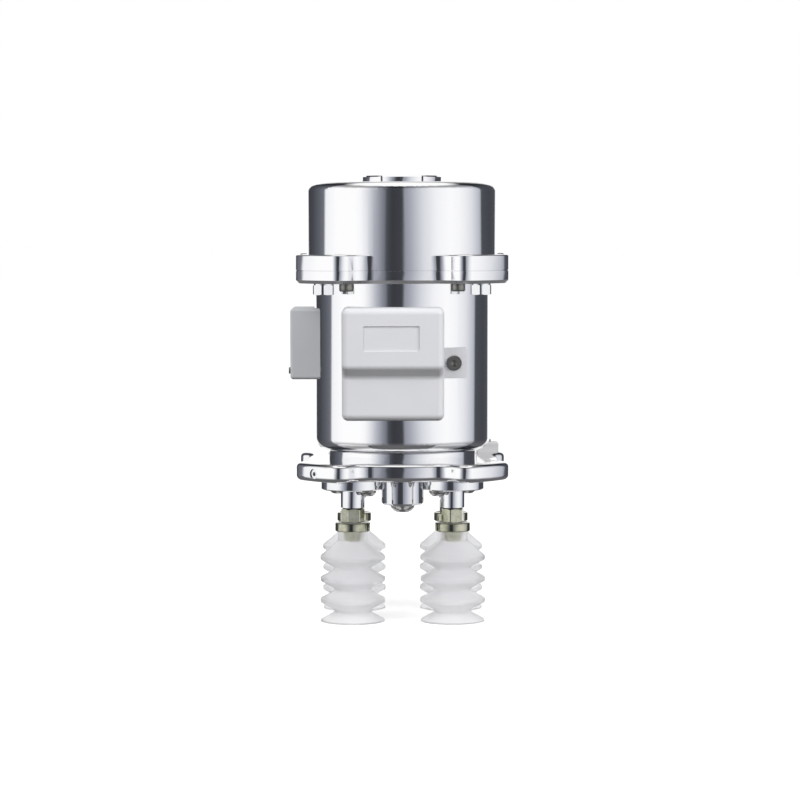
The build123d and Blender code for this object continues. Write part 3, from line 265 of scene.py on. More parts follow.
def kept(make):
    """Makes a node group with the function's name once, and gives the same one after that."""
    return lambda: bpy.data.node_groups.get(make.__name__) or make(make.__name__)


def new_group(name, kind, inputs, outputs):
    """A node group with sockets of (name, type, default), its Tree, its given sockets and its result."""
    group = bpy.data.node_groups.new(name, kind)
    for side, sockets in (("INPUT", inputs), ("OUTPUT", outputs)):
        for label, socket_type, default in sockets:
            socket = group.interface.new_socket(label, in_out=side, socket_type="NodeSocket" + socket_type)
            if default is not None:
                socket.default_value = default
    tree = Tree(group)
    return group, tree, tree.node("NodeGroupInput").outputs, tree.node("NodeGroupOutput")


def finish_group(name, **defaults):
    """A shader group that turns a vector, a colour and other numbers into colour, roughness and height."""
    inputs = [("Vector", "Vector", None)]
    for key, value in defaults.items():
        inputs.append((key.replace("_", " "), "Color" if isinstance(value, tuple) else "Float", value))
    outputs = (("Color", "Color", None), ("Roughness", "Float", None), ("Height", "Float", None))
    return new_group(name, "ShaderNodeTree", inputs, outputs)


def rule_group(name, *inputs):
    """A Geometry Nodes group that turns geometry and other inputs into geometry."""
    geometry = ("Geometry", "Geometry", None)
    return new_group(name, "GeometryNodeTree", (geometry, *inputs), (geometry,))


# What a dull band adds to the roughness of a polished finish
DULLER = 0.36


@kept
def machined_metal(name):
    """Fine grain, turning lines and faint handling marks, shared by the aluminium and steel finishes."""
    group, tree, given, result = finish_group(
        name,
        Color=(0.8, 0.8, 0.8, 1.0),
        Roughness=0.2,
        Grain_Scale=2600.0,
        Grain=0.06,
        Lines_Per_Metre=2200.0,
        Lines=0.3,
        Marks=0.05,
        Dull_From=10.0,
        Dull_To=11.0,
    )
    height = tree.height(given["Vector"])
    grain = tree.noise(given["Vector"], given["Grain Scale"], 3.0, 0.7)
    lines = tree.rows(tree.math("MULTIPLY", height, given["Lines Per Metre"]), 2.0)
    marks = tree.noise(given["Vector"], 45.0, 4.0, 0.6)
    shade = tree.wander(grain, given["Grain"], 1.0)
    rough = tree.wander(grain, given["Grain"], given["Roughness"])
    rough = tree.wander(marks, given["Marks"], rough)
    above = tree.math("GREATER_THAN", height, given["Dull From"])
    below = tree.math("LESS_THAN", height, given["Dull To"])
    rough = tree.math("MULTIPLY_ADD", tree.math("MULTIPLY", above, below), DULLER, rough, clamp=True)
    relief = tree.math("MULTIPLY_ADD", lines, given["Lines"], grain)
    tree.set(result, Color=tree.scaled(given["Color"], shade), Roughness=rough, Height=relief)
    return group


@kept
def plated_metal(name):
    """Uneven tone of plating: warm and cool patches, and dull spots."""
    group, tree, given, result = finish_group(
        name,
        Color=(0.7, 0.68, 0.6, 1.0),
        Tarnish=(0.45, 0.46, 0.38, 1.0),
        Tarnish_Share=0.5,
        Patch_Scale=260.0,
        Roughness=0.2,
    )
    patch = tree.noise(given["Vector"], given["Patch Scale"], 4.0, 0.55)
    amount = tree.math("MULTIPLY", tree.remap(patch, 0.38, 0.66, 0.0, 1.0), given["Tarnish Share"])
    tone = tree.mix(amount, given["Color"], given["Tarnish"])
    fine = tree.noise(given["Vector"], 900.0, 3.0, 0.6)
    rough = tree.math("MULTIPLY_ADD", amount, 0.10, given["Roughness"])
    tree.set(result, Color=tone, Roughness=tree.wander(fine, 0.06, rough, clamp=True), Height=fine)
    return group


@kept
def moulded_plastic(name):
    """Spark eroded texture of a moulding, with a little variation of tone."""
    group, tree, given, result = finish_group(
        name, Color=(0.8, 0.8, 0.8, 1.0), Texture_Scale=3000.0, Roughness=0.5, Tone=0.05
    )
    texture = tree.noise(given["Vector"], given["Texture Scale"], 3.0, 0.6)
    cloud = tree.noise(given["Vector"], 70.0, 3.0, 0.5)
    shade = tree.wander(texture, given["Tone"], tree.wander(cloud, given["Tone"], 1.0))
    rough = tree.wander(cloud, 0.12, given["Roughness"], clamp=True)
    tree.set(result, Color=tree.scaled(given["Color"], shade), Roughness=rough, Height=texture)
    return group


@kept
def soft_rubber(name):
    """Moulding rings, haze and dust on rubber."""
    group, tree, given, result = finish_group(
        name, Color=(0.9, 0.9, 0.9, 1.0), Haze=(0.8, 0.82, 0.84, 1.0), Ring_Pitch=1.4 * MM, Roughness=0.4
    )
    along = tree.math("DIVIDE", tree.height(given["Vector"]), given["Ring Pitch"])
    ring = tree.rows(along, 1.0)
    cloud = tree.noise(given["Vector"], 120.0, 3.0, 0.5)
    veil = tree.remap(tree.math("MULTIPLY", ring, cloud), 0.1, 0.5, 0.0, 1.0)
    rough = tree.wander(cloud, 0.15, given["Roughness"], clamp=True)
    tree.set(result, Color=tree.mix(veil, given["Color"], given["Haze"]), Roughness=rough, Height=ring)
    return group


def new_material(name):
    """An empty material, and a Tree to build it with."""
    material = bpy.data.materials.new(name)
    material.use_nodes = True
    material.node_tree.nodes.clear()
    return material, Tree(material.node_tree)


def finish(name, group, relief, settings, values):
    """A material whose Principled shader takes its colour, roughness and bump from a shared group."""
    if name in bpy.data.materials:
        return bpy.data.materials[name]
    material, tree = new_material(name)
    place = tree.node("ShaderNodeTexCoord")
    effect = tree.node("ShaderNodeGroup", node_tree=group, Vector=place.outputs["Object"], **values).outputs
    bump = tree.node("ShaderNodeBump", Strength=relief[0], Distance=relief[1], Height=effect["Height"])
    shader = tree.node("ShaderNodeBsdfPrincipled", Base_Color=effect["Color"], Normal=bump, **settings)
    tree.set(shader, Roughness=effect["Roughness"])
    tree.node("ShaderNodeOutputMaterial", Surface=shader)
    return material


def rgba(color):
    """A colour with full alpha."""
    return (*color[:3], 1.0)


def polished_aluminium(name, color, roughness, grain=0.10, lines=0.25, dull=(10.0, 11.0)):
    """Satin polished aluminium with a fine sandy sparkle, left as turned between two heights."""
    values = {"Color": rgba(color), "Roughness": roughness, "Grain": grain, "Lines": lines}
    values.update({"Dull From": dull[0], "Dull To": dull[1]})
    return finish(name, machined_metal(), (0.08, 0.02 * MM), {"Metallic": 1.0}, values)


def screw_steel(name, color, roughness, marks=0.12, grain_scale=2600.0, relief=(0.15, 0.02 * MM)):
    """Steel of the screws, with light tool marks."""
    values = {"Color": rgba(color), "Roughness": roughness, "Grain Scale": grain_scale, "Grain": 0.16}
    values.update({"Lines": 0.1, "Marks": marks})
    return finish(name, machined_metal(), relief, {"Metallic": 1.0}, values)


def nickel_plate(name, color, tarnish, roughness, amount=0.5):
    """Plated brass whose tone wanders between warm and greenish grey."""
    values = {"Color": rgba(color), "Roughness": roughness, "Tarnish": rgba(tarnish)}
    values.update({"Tarnish Share": amount})
    return finish(name, plated_metal(), (0.25, 0.02 * MM), {"Metallic": 1.0}, values)


def moulding(name, color, roughness, tone=0.05, relief=0.18):
    """Finely textured moulded plastic."""
    values = {"Color": rgba(color), "Roughness": roughness, "Tone": tone}
    return finish(name, moulded_plastic(), (relief, 0.03 * MM), {"IOR": 1.46}, values)


def rubber(name, color, haze, roughness, settings):
    """Rubber or silicone with moulding rings."""
    values = {"Color": rgba(color), "Haze": rgba(haze), "Roughness": roughness}
    return finish(name, soft_rubber(), (0.25, 0.05 * MM), settings, values)


SILICONE = {"Transmission Weight": 0.92, "IOR": 1.20, "Sheen Weight": 0.5, "Sheen Roughness": 0.3}

# Each finish: what makes it, its material's name, and values. A text stands for a setting of that name
FINISHES = {
    "aluminium": (polished_aluminium, "satin_polished_aluminium", "aluminium", "aluminium_roughness"),
    "turned": (polished_aluminium, "bright_turned_aluminium", "turned", 0.07, 0.06, 0.2),
    "bare": (polished_aluminium, "machined_inner_aluminium", (0.70, 0.71, 0.73), 0.32, 0.12, 1.2),
    "plated_steel": (screw_steel, "bright_plated_steel", "chrome", 0.07, 0.05, 600.0, (0.8, 0.05 * MM)),
    "stainless_steel": (screw_steel, "stainless_screw_steel", "stainless", 0.20),
    "dark_steel": (screw_steel, "dark_screw_steel", "dark_steel", 0.38),
    "nickel_brass": (nickel_plate, "nickel_plated_brass", "nickel", (0.26, 0.275, 0.18), 0.08, 0.65),
    "brass": (nickel_plate, "turned_brass", (0.80, 0.62, 0.33), (0.62, 0.48, 0.26), 0.24),
    "cover": (moulding, "front_cover_plastic", "cover", 0.42),
    "switch": (moulding, "switch_cover_plastic", "switch", 0.46),
    "exhaust": (moulding, "exhaust_cover_plastic", (0.80, 0.80, 0.81), 0.45),
    "black": (moulding, "inner_black_plastic", (0.045, 0.046, 0.05), 0.48),
    "ring": (moulding, "release_ring_plastic", (0.10, 0.11, 0.12), 0.35),
    "foam": (moulding, "sintered_foam", (0.80, 0.80, 0.76), 0.85, 0.35, 0.9),
    "tube": (moulding, "clear_tube", (0.74, 0.78, 0.82), 0.22),
    "board": (moulding, "green_board_laminate", (0.03, 0.16, 0.08), 0.35, 0.12),
    "silicone": (rubber, "milky_silicone", "silicone", (0.965, 0.965, 0.985), 0.46, SILICONE),
    "seal": (rubber, "black_seal_rubber", (0.035, 0.035, 0.037), (0.06, 0.06, 0.062), 0.62, {"IOR": 1.5}),
    "grey": (rubber, "grey_gasket_rubber", (0.20, 0.205, 0.22), (0.26, 0.265, 0.28), 0.6, {"IOR": 1.5}),
}


def look(kind):
    """The material of one of the finishes, with the scene's settings."""
    make, name, *values = FINISHES[kind]
    settings = bpy.context.scene.gripper_finishes
    return make(name, *[getattr(settings, value) if isinstance(value, str) else value for value in values])


# Thickness of the housing's flange, and the band of its lower edge that wasn't polished after turning
FLANGE_THICKNESS = 5.0 * MM
DULL_BAND = (0.02 * MM, 1.32 * MM)


def housing_look():
    """Polished like the cap and the manifold, with the flange's dull lower edge."""
    chosen = bpy.context.scene.gripper_finishes
    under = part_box("main_housing")[1][2] - FLANGE_THICKNESS
    dull = [under + height for height in DULL_BAND]
    name = "satin_polished_housing"
    return polished_aluminium(name, chosen.aluminium, chosen.aluminium_roughness, dull=dull)


# Mesh helpers


def material_on(node, material):
    """Gives a CAD node its finish and returns the node's object."""
    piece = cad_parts[node]
    piece.data.materials.clear()
    piece.data.materials.append(material)
    for face in piece.data.polygons:
        face.material_index = 0
    return piece


@kept
def faired_surface(name):
    """Geometry nodes that join a CAD mesh's loose triangles and shade it smooth up to a sharp angle."""
    group, tree, given, result = rule_group(
        name, ("Join Distance", "Float", 0.002 * MM), ("Sharp Angle", "Float", math.radians(28))
    )
    joined = tree.node("GeometryNodeMergeByDistance", Geometry=given[0], Distance=given["Join Distance"])
    smooth = tree.node("GeometryNodeSetShadeSmooth", domain="FACE", Geometry=joined, Shade_Smooth=True)
    angle = tree.node("GeometryNodeInputMeshEdgeAngle")
    sharp = tree.node("FunctionNodeCompare", data_type="FLOAT", operation="GREATER_THAN")
    tree.set(sharp, i0=angle, i1=given["Sharp Angle"])
    edges = tree.node("GeometryNodeSetShadeSmooth", domain="EDGE", Geometry=smooth, Shade_Smooth=False)
    tree.set(edges, Selection=sharp)
    tree.set(result, Geometry=edges)
    return group


def fair(piece, angle=28.0):
    """Shades a CAD node's curved faces smooth, with its edges kept crisp."""
    modifier = piece.modifiers.new("faired surface", "NODES")
    modifier.node_group = faired_surface()
    for item in modifier.node_group.interface.items_tree:
        if item.name == "Sharp Angle":
            modifier[item.identifier] = math.radians(angle)
    weighted = piece.modifiers.new("flat faces stay flat", "WEIGHTED_NORMAL")
    weighted.keep_sharp = True
    weighted.weight = 60
    return piece


def dress(kind, nodes, angle=28.0, mirrored=True):
    """Gives CAD nodes a finish and smooth shading. Those that aren't mirrored don't show in the metal."""
    for node in nodes:
        fair(material_on(node, look(kind)), angle).visible_glossy = mirrored


def new_object(name, data):
    """An object in the scene, with that data."""
    made = bpy.data.objects.new(name, data)
    bpy.context.scene.collection.objects.link(made)
    return made


def new_piece(name, mesh, kind, replaced=()):
    """Links a mesh as a piece of the gripper, with a finish whose name is also the piece's slot."""
    mesh.materials.clear()
    mesh.materials.append(look(kind))
    piece = new_object(name, mesh)
    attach(piece, "root")
    if replaced:
        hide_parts(*replaced)
    return piece


def ring_of(work, radius, height, count, ripple=0.0, centre=(0.0, 0.0, 0.0)):
    """A round ring of vertices, rippled between ribs."""
    ring = []
    for step in range(count):
        angle = 2 * math.pi * step / count
        reach = radius - ripple * (step % 2)
        x = centre[0] + reach * math.cos(angle)
        y = centre[1] + reach * math.sin(angle)
        ring.append(work.verts.new((x, y, height)))
    return ring


def round_rings(work, count, *places):
    """Round rings at (radius, height) places."""
    return [ring_of(work, radius, height, count) for radius, height in places]


def solid_of_rings(name, work, rings, poles=(), crisp=32.0):
    """Mesh of rings joined in order, closed by a pole at each end or, with no poles, end to end."""
    mesh = bpy.data.meshes.new(name)
    count = len(rings[0])
    following = rings[1:] if poles else rings[1:] + rings[:1]
    for first, second in zip(rings, following):
        for step in range(count):
            after = (step + 1) % count
            work.faces.new((first[step], first[after], second[after], second[step]))
    for ring, height in zip((rings[0], rings[-1]), poles):
        pole = work.verts.new((0.0, 0.0, height))
        for step in range(count):
            work.faces.new((ring[step], ring[(step + 1) % count], pole))
    bmesh.ops.recalc_face_normals(work, faces=work.faces)
    for face in work.faces:
        face.smooth = True
    for edge in work.edges:
        edge.smooth = edge.calc_face_angle(0.0) < math.radians(crisp)
    work.to_mesh(mesh)
    work.free()
    return mesh


# Half the angle from which a corner stays as it is, and how much of a side a rounding may take
NEARLY_STRAIGHT = math.radians(88)
ROUNDED_SHARE = 0.48


def rounded_profile(corners, steps=5):
    """Points along a polyline of (radius, height, rounding) corners, with each corner rounded."""
    points = []
    count = len(corners)
    for index, (x, y, rounding) in enumerate(corners):
        here = Vector((x, y))
        if rounding <= 0:
            points.append(here)
            continue
        before = Vector(corners[index - 1][:2]) - here
        after = Vector(corners[(index + 1) % count][:2]) - here
        half = before.angle(after) / 2
        if half > NEARLY_STRAIGHT:
            points.append(here)
            continue
        reach = min(rounding / math.tan(half), ROUNDED_SHARE * min(before.length, after.length))
        radius = reach * math.tan(half)
        start = here + before.normalized() * reach
        end = here + after.normalized() * reach
        centre = here + (before.normalized() + after.normalized()).normalized() * (radius / math.sin(half))
        first = start - centre
        turn = first.angle_signed(end - centre)
        for step in range(steps + 1):
            points.append(centre + Matrix.Rotation(-turn * step / steps, 2) @ first)
    return [(point.x, point.y) for point in points]


# Bellows cups


# Steps round a cup, and an angle past that of any edge
CUP_STEPS = 112
ALL_SMOOTH = 181.0


def bellows_profile(sizes, top):
    """Section of a bellows cup as rounded corners: down the outside, round the lip and up the inside."""
    tip, edge, waist = sizes.fold_radius, sizes.fold_edge, sizes.valley_radius
    outer = [
        (sizes.neck_radius, top, 0.25 * MM),
        (sizes.neck_radius, top - sizes.neck_length, 1.0 * MM),
    ]
    inner = [
        (sizes.barb_radius, top, 0.15 * MM),
        (sizes.barb_radius, top - sizes.barb_length, 0.6 * MM),
    ]
    height = top - sizes.neck_length - sizes.first_slope
    for _ in range(sizes.folds):
        outer += [
            (tip, height + edge / 2, 0.5 * MM),
            (tip, height - edge / 2, 0.5 * MM),
            (waist, height - sizes.fold_pitch / 2, 0.8 * MM),
        ]
        inner += [
            (tip - sizes.fold_wall, height, 0.5 * MM),
            (waist - sizes.wall, height - sizes.fold_pitch / 2, 0.6 * MM),
        ]
        height -= sizes.fold_pitch
    outer += [(sizes.lip_radius, height + sizes.lip_wall, 0.3 * MM), (sizes.lip_radius, height, 0.12 * MM)]
    inner += [(sizes.lip_radius - 1.5 * sizes.lip_wall, height, 0.12 * MM)]
    return rounded_profile(outer + inner[::-1])


class GRIPPER_OT_bellows_cups(bpy.types.Operator):
    """Makes the four translucent bellows cups in place of the plain CAD ones."""

    bl_idname = "gripper.bellows_cups"
    bl_label = "Bellows cups"

    def execute(self, context):
        sizes = context.scene.bellows_sizes
        for corner in CORNERS:
            node = f"suction_cup_{corner}"
            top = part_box(node)[1][2]
            centre = middle_of(node)
            work = bmesh.new()
            rings = []
            for radius, height in bellows_profile(sizes, top):
                rings.append(ring_of(work, radius, height, CUP_STEPS, 0.0, centre))
            mesh = solid_of_rings("bellows cup", work, rings, (), ALL_SMOOTH)
            new_piece(f"bellows_{corner}", mesh, "silicone", (node,))
        return {"FINISHED"}


# Polished bodies


class GRIPPER_OT_polished_bodies(bpy.types.Operator):
    """Gives the cap, the housing and the base manifold their satin polish, and the seals their rubber."""

    bl_idname = "gripper.polished_bodies"
    bl_label = "Cap, housing and manifold"

    def execute(self, context):
        dress("aluminium", ("adapter_cap", "base_manifold"))
        fair(material_on("main_housing", housing_look()))
        for node in ("cap_seal", "base_seals", "pad_flange_seals", "fitting_gaskets"):
            material_on(node, look("seal"))
        material_on("front_cover_gasket", look("seal")).visible_glossy = False
        material_on("switch_gasket", look("grey")).visible_glossy = False
        return {"FINISHED"}


class GRIPPER_OT_pad_hardware(bpy.types.Operator):
    """Finishes the pad flanges, the nickel plated fittings and clamp rings, and the centre post."""

    bl_idname = "gripper.pad_hardware"
    bl_label = "Pad flanges, fittings and post"

    def execute(self, context):
        stud = (2.5 * MM, 6.0 * MM)
        shape = barbed_fitting(stud, 4.0 * MM, 5.3 * MM, (3.9 * MM, 7.9 * MM), 1.6 * MM)
        for corner in CORNERS:
            dress("turned", (f"pad_flange_{corner}",))
            dress("nickel_brass", (f"clamp_ring_{corner}",))
            node = f"pad_fitting_{corner}"
            place = middle_of(node, 2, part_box(node)[1][2] - stud[1])
            turn = (0.0, 0.0, math.radians(FITTING_TURNS[corner]))
            name = f"barbed_fitting_{corner}"
            screw_set(name, shape, [place], [turn], "nickel_brass", node)
        dress("turned", ("centre_post",))
        return {"FINISHED"}


# Screws


@kept
def screws_on_points(name):
    """Geometry nodes that put one screw on each point of a mesh, turned as the point's attribute says."""
    group, tree, given, result = rule_group(
        name, ("Screw", "Object", None), ("Size", "Float", 1.0), ("Material", "Material", None)
    )
    points = tree.node("GeometryNodeMeshToPoints", Mesh=given[0])
    turn = tree.node("GeometryNodeInputNamedAttribute", data_type="FLOAT_VECTOR", Name="turn")
    screw = tree.node("GeometryNodeObjectInfo", Object=given["Screw"])
    rotation = tree.node("FunctionNodeEulerToRotation", Euler=turn)
    size = given["Size"]
    wide = tree.node("ShaderNodeCombineXYZ", X=size, Y=size, Z=size)
    copies = tree.node("GeometryNodeInstanceOnPoints", Points=points, Instance=screw.outputs["Geometry"])
    tree.coat(tree.set(copies, Rotation=rotation, Scale=wide), given, result)
    return group


def baked(carrier, tree, inputs):
    """Mesh that a Geometry Nodes tree makes on a carrier object, which is then removed."""
    modifier = carrier.modifiers.new("rule", "NODES")
    modifier.node_group = tree
    for item in tree.interface.items_tree:
        if item.in_out == "INPUT" and item.name in inputs:
            modifier[item.identifier] = inputs[item.name]
    graph = bpy.context.evaluated_depsgraph_get()
    mesh = bpy.data.meshes.new_from_object(carrier.evaluated_get(graph), depsgraph=graph)
    carrier.modifiers.remove(modifier)
    bpy.data.objects.remove(carrier)
    return mesh


def carrier_of(points, turns):
    """A mesh of bare points with the turn of each one."""
    mesh = bpy.data.meshes.new("screw places")
    mesh.from_pydata(points, [], [])
    attribute = mesh.attributes.new("turn", "FLOAT_VECTOR", "POINT")
    attribute.data.foreach_set("vector", [value for turn in turns for value in turn])
    return new_object("screw places", mesh)


def screw_set(name, head, places, turns, kind, node):
    """One piece with a copy of the head at each place, in place of a CAD node."""
    pattern = new_object("screw pattern", head)
    carrier = carrier_of(places, turns)
    mesh = baked(carrier, screws_on_points(), {"Screw": pattern, "Size": 1.0, "Material": look(kind)})
    bpy.data.objects.remove(pattern)
    mesh.name = name
    return new_piece(name, mesh, kind, (node,))


# Steps round a hexagon's ring, and how far its corners reach, as a share of its flats
HEXAGON_STEPS = 120
BOLT_CORNER = 1.095
FITTING_CORNER = 1.125
SHARP_CORNER = 1.16

# A shank's end, as a share of its radius, and a socket's flat rim and drilled floor, as shares of its flats
SHANK_TIP = 0.86
SOCKET_RIM = 1.22
DRILL_SLOPE = 0.6


def hexagon_ring(work, flat, height, count, slope=0.0, corner=FITTING_CORNER):
    """A ring on a hexagon's sides. Its corners are rounded, and stand back by a turned chamfer's slope."""
    ring = []
    for step in range(count):
        angle = 2 * math.pi * step / count
        reach = min(flat / math.cos(angle % (math.pi / 3) - math.pi / 6), corner * flat)
        level = height + slope * (reach - flat)
        ring.append(work.verts.new((reach * math.cos(angle), reach * math.sin(angle), level)))
    return ring


def socket_screw(length, radius, head_radius, outline, socket_flat, socket_depth, count, ripple=0.0):
    """Screw with a hexagon socket. Its head hangs from height 0, by an outline of (share, depth, ribbed)."""
    work = bmesh.new()
    tip = (radius * SHANK_TIP, length)
    rings = round_rings(work, count, tip, (radius, length - 0.3 * MM), (radius, 0.0))
    for reach, depth, ribbed in outline:
        rings.append(ring_of(work, head_radius * reach, -depth, count, ripple if ribbed else 0.0))
    face = -outline[-1][1]
    floor = face + socket_depth
    rings.append(ring_of(work, socket_flat * SOCKET_RIM, face, count))
    rings.append(hexagon_ring(work, socket_flat, face, count, 0.0, SHARP_CORNER))
    rings.append(hexagon_ring(work, socket_flat, floor, count, 0.0, SHARP_CORNER))
    return solid_of_rings("socket screw", work, rings, (length, floor + DRILL_SLOPE * socket_flat))


def hexagon_bolt(length, radius, flat, head_height, washer_height):
    """Bolt with its seat at height 0, and below it a round washer face and a hexagon with turned corners."""
    work = bmesh.new()
    count = HEXAGON_STEPS
    low = -washer_height - head_height
    tip, face = (radius * SHANK_TIP, length), 0.97 * flat
    rings = [
        *round_rings(work, count, tip, (radius, length - 0.4 * MM), (radius, 0.0)),
        *round_rings(work, count, (face, 0.0), (face, -washer_height)),
        hexagon_ring(work, flat, -washer_height, count, -0.3, BOLT_CORNER),
        hexagon_ring(work, flat, low, count, 0.6, BOLT_CORNER),
        *round_rings(work, count, (0.95 * flat, low), (0.66 * flat, low), (0.58 * flat, low + 0.2 * MM)),
    ]
    return solid_of_rings("hexagon bolt", work, rings, (length, low + 0.2 * MM), 25.0)


def barbed_fitting(stud, flat, hexagon, barb, bore):
    """Bored fitting: a stud above height 0, then a hexagon, then a barb. Sizes are (radius, length)."""
    work = bmesh.new()
    count = HEXAGON_STEPS
    low = -hexagon
    edge, tip, groove = barb[0], 0.75 * barb[0], barb[0] - 0.35 * MM
    outside, top = stud
    chamfer = 0.4 * MM
    rings = [
        *round_rings(work, count, (bore, top), (outside - chamfer, top), (outside, top - chamfer)),
        *round_rings(work, count, (outside, 0.0), (0.95 * flat, 0.0)),
        hexagon_ring(work, flat, 0.0, count, -0.6),
        hexagon_ring(work, flat, low, count, 0.6),
        *round_rings(work, count, (0.95 * flat, low), (groove, low)),
    ]
    for reach, down in ((groove, 0.35), (edge, 0.45), (groove, 0.65), (edge, 0.75), (tip, 1.0), (bore, 1.0)):
        rings.append(ring_of(work, reach, low - down * barb[1], count))
    return solid_of_rings("barbed fitting", work, rings, (), 25.0)


def cap_head(length, radius, head_radius, head_height):
    """Knurled socket cap screw."""
    sizes = bpy.context.scene.screw_sizes
    flat, depth = 0.45 * head_radius, 0.5 * head_height
    outline = (
        (0.95, 0.0, False),
        (1.0, 0.10 * head_height, True),
        (1.0, 0.82 * head_height, True),
        (0.955, 0.90 * head_height, False),
        (0.90, head_height, False),
    )
    ribs = 2 * sizes.knurl_ribs
    return socket_screw(length, radius, head_radius, outline, flat, depth, ribs, sizes.knurl_depth)


def button_head(length, radius, head_radius, head_height):
    """Button head screw with a hexagon socket."""
    flat, depth = 0.31 * head_radius, 0.55 * head_height
    outline = [(0.97, 0.0, False), (1.0, 0.08 * head_height, False)]
    start, step, steps = 8, 9.2, 7
    top = math.sin(math.radians(start + steps * step))
    for index in range(1, steps + 1):
        angle = math.radians(start + index * step)
        outline.append((0.35 + 0.66 * math.cos(angle), head_height * math.sin(angle) / top, False))
    return socket_screw(length, radius, head_radius, outline, flat, depth, 48)


# Socket screws by CAD node: the piece, its head and finish, and in millimetres the shank's radius and the
# head's radius and height
SCREWS = {
    "flange_screws": ("flange_cap_screws", cap_head, "dark_steel", 1.5, 2.75, 3.0),
    "base_fixing_screws": ("base_cap_screws", cap_head, "stainless_steel", 2.0, 3.5, 4.0),
    "pad_flange_screws": ("disc_button_screws", button_head, "stainless_steel", 2.0, 3.4, 2.2),
    "centre_post_screw": ("post_button_screw", button_head, "stainless_steel", 2.5, 4.75, 2.9),
    "front_cover_screw": ("tab_cap_screw", cap_head, "dark_steel", 1.5, 2.75, 3.0),
    "switch_cover_screw": ("switch_cap_screw", cap_head, "dark_steel", 0.8, 1.3, 1.1),
}


def socket_screws(node, shank, places, turns):
    """One piece with the socket screws of a CAD node."""
    name, make, kind, *sizes = SCREWS[node]
    head = make(shank, *[size * MM for size in sizes])
    return screw_set(name, head, places, turns, kind, node)


def head_box(node):
    """Box of a CAD node's screws, and the radius and the height of a head."""
    radius, height = SCREWS[node][-2:]
    return (*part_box(node), radius * MM, height * MM)


def circle_places(radius, degrees, height):
    """Points on a circle round the gripper's axis."""
    angles = [math.radians(angle) for angle in degrees]
    return [(radius * math.cos(angle), radius * math.sin(angle), height) for angle in angles]


def scattered_turns(count, seed):
    """How far each screw of a set happened to stop, the same on each run."""
    return [(0.0, 0.0, (seed * 0.37 + index * 2.399) % (math.pi / 3)) for index in range(count)]


def middle_of(node, axis=None, value=0.0):
    """Middle of a CAD node's box, moved to a value on one axis where an axis is given."""
    low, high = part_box(node)
    middle = [(low[step] + high[step]) / 2 for step in range(3)]
    if axis is not None:
        middle[axis] = value
    return tuple(middle)


class GRIPPER_OT_screws(bpy.types.Operator):
    """Makes the screws with knurled, socketed and rounded heads."""

    bl_idname = "gripper.screws"
    bl_label = "Screws and bolts"

    def execute(self, context):
        low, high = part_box("ear_bolts")
        shank, radius, flat, washer = 10.0 * MM, 2.5 * MM, 4.0 * MM, 0.5 * MM
        seat = high[2] - shank
        reach = math.sqrt(2) * ((high[0] - low[0]) / 2 - flat)
        bolt = hexagon_bolt(shank, radius, flat, seat - low[2] - washer, washer)
        places = circle_places(reach, CORNER_ANGLES.values(), seat)
        turns = [(0.0, 0.0, math.radians(degrees)) for degrees in BOLT_TURNS]
        screw_set("hexagon_ear_bolts", bolt, places, turns, "plated_steel", "ear_bolts")

        low, high, radius, height = head_box("flange_screws")
        across = (low[0] + radius, high[0] - radius)
        along = (low[1] + radius, high[1] - radius)
        places = [(x, y, low[2] + height) for x in across for y in along]
        socket_screws("flange_screws", 8.0 * MM, places, scattered_turns(4, 1)).visible_glossy = False

        low, high, radius, height = head_box("base_fixing_screws")
        reach = (high[0] - low[0]) / 2 - radius
        places = circle_places(reach, (0, 90, 180, 270), low[2] + height)
        socket_screws("base_fixing_screws", 9.5 * MM, places, scattered_turns(4, 2))

        low, high, radius, height = head_box("pad_flange_screws")
        disc_reach, screw_offset = 27.44 * MM, 8.25 * MM
        places = []
        for degrees in CORNER_ANGLES.values():
            angle = math.radians(degrees)
            x, y, z = circle_places(disc_reach, (degrees,), low[2] + height)[0]
            for side in (-screw_offset, screw_offset):
                places.append((x - side * math.sin(angle), y + side * math.cos(angle), z))
        socket_screws("pad_flange_screws", 9.0 * MM, places, scattered_turns(8, 3))

        low, high, radius, height = head_box("centre_post_screw")
        places = [(0.0, 0.0, low[2] + height)]
        socket_screws("centre_post_screw", high[2] - low[2] - height, places, scattered_turns(1, 4))

        rearward, rightward = (math.radians(-90), 0.0, 0.0), (0.0, math.radians(90), 0.0)
        for node, axis, turn in (("front_cover_screw", 1, rearward), ("switch_cover_screw", 0, rightward)):
            low, high, radius, height = head_box(node)
            places = [middle_of(node, axis, low[axis] + height)]
            socket_screws(node, high[axis] - low[axis] - height, places, [turn])

        dress("plated_steel", ("gallery_plug",))
        dress("dark_steel", ("exhaust_cover_screw",))
        return {"FINISHED"}


# Covers


class GRIPPER_OT_covers(bpy.types.Operator):
    """Finishes the front cover, the switch cover and the exhaust cover."""

    bl_idname = "gripper.covers"
    bl_label = "Covers"

    def execute(self, context):
        dress("cover", ("front_cover",), 32.0, mirrored=False)
        dress("switch", ("switch_cover",), 32.0, mirrored=False)
        dress("exhaust", ("exhaust_cover",), 32.0)
        return {"FINISHED"}


# Rear fittings


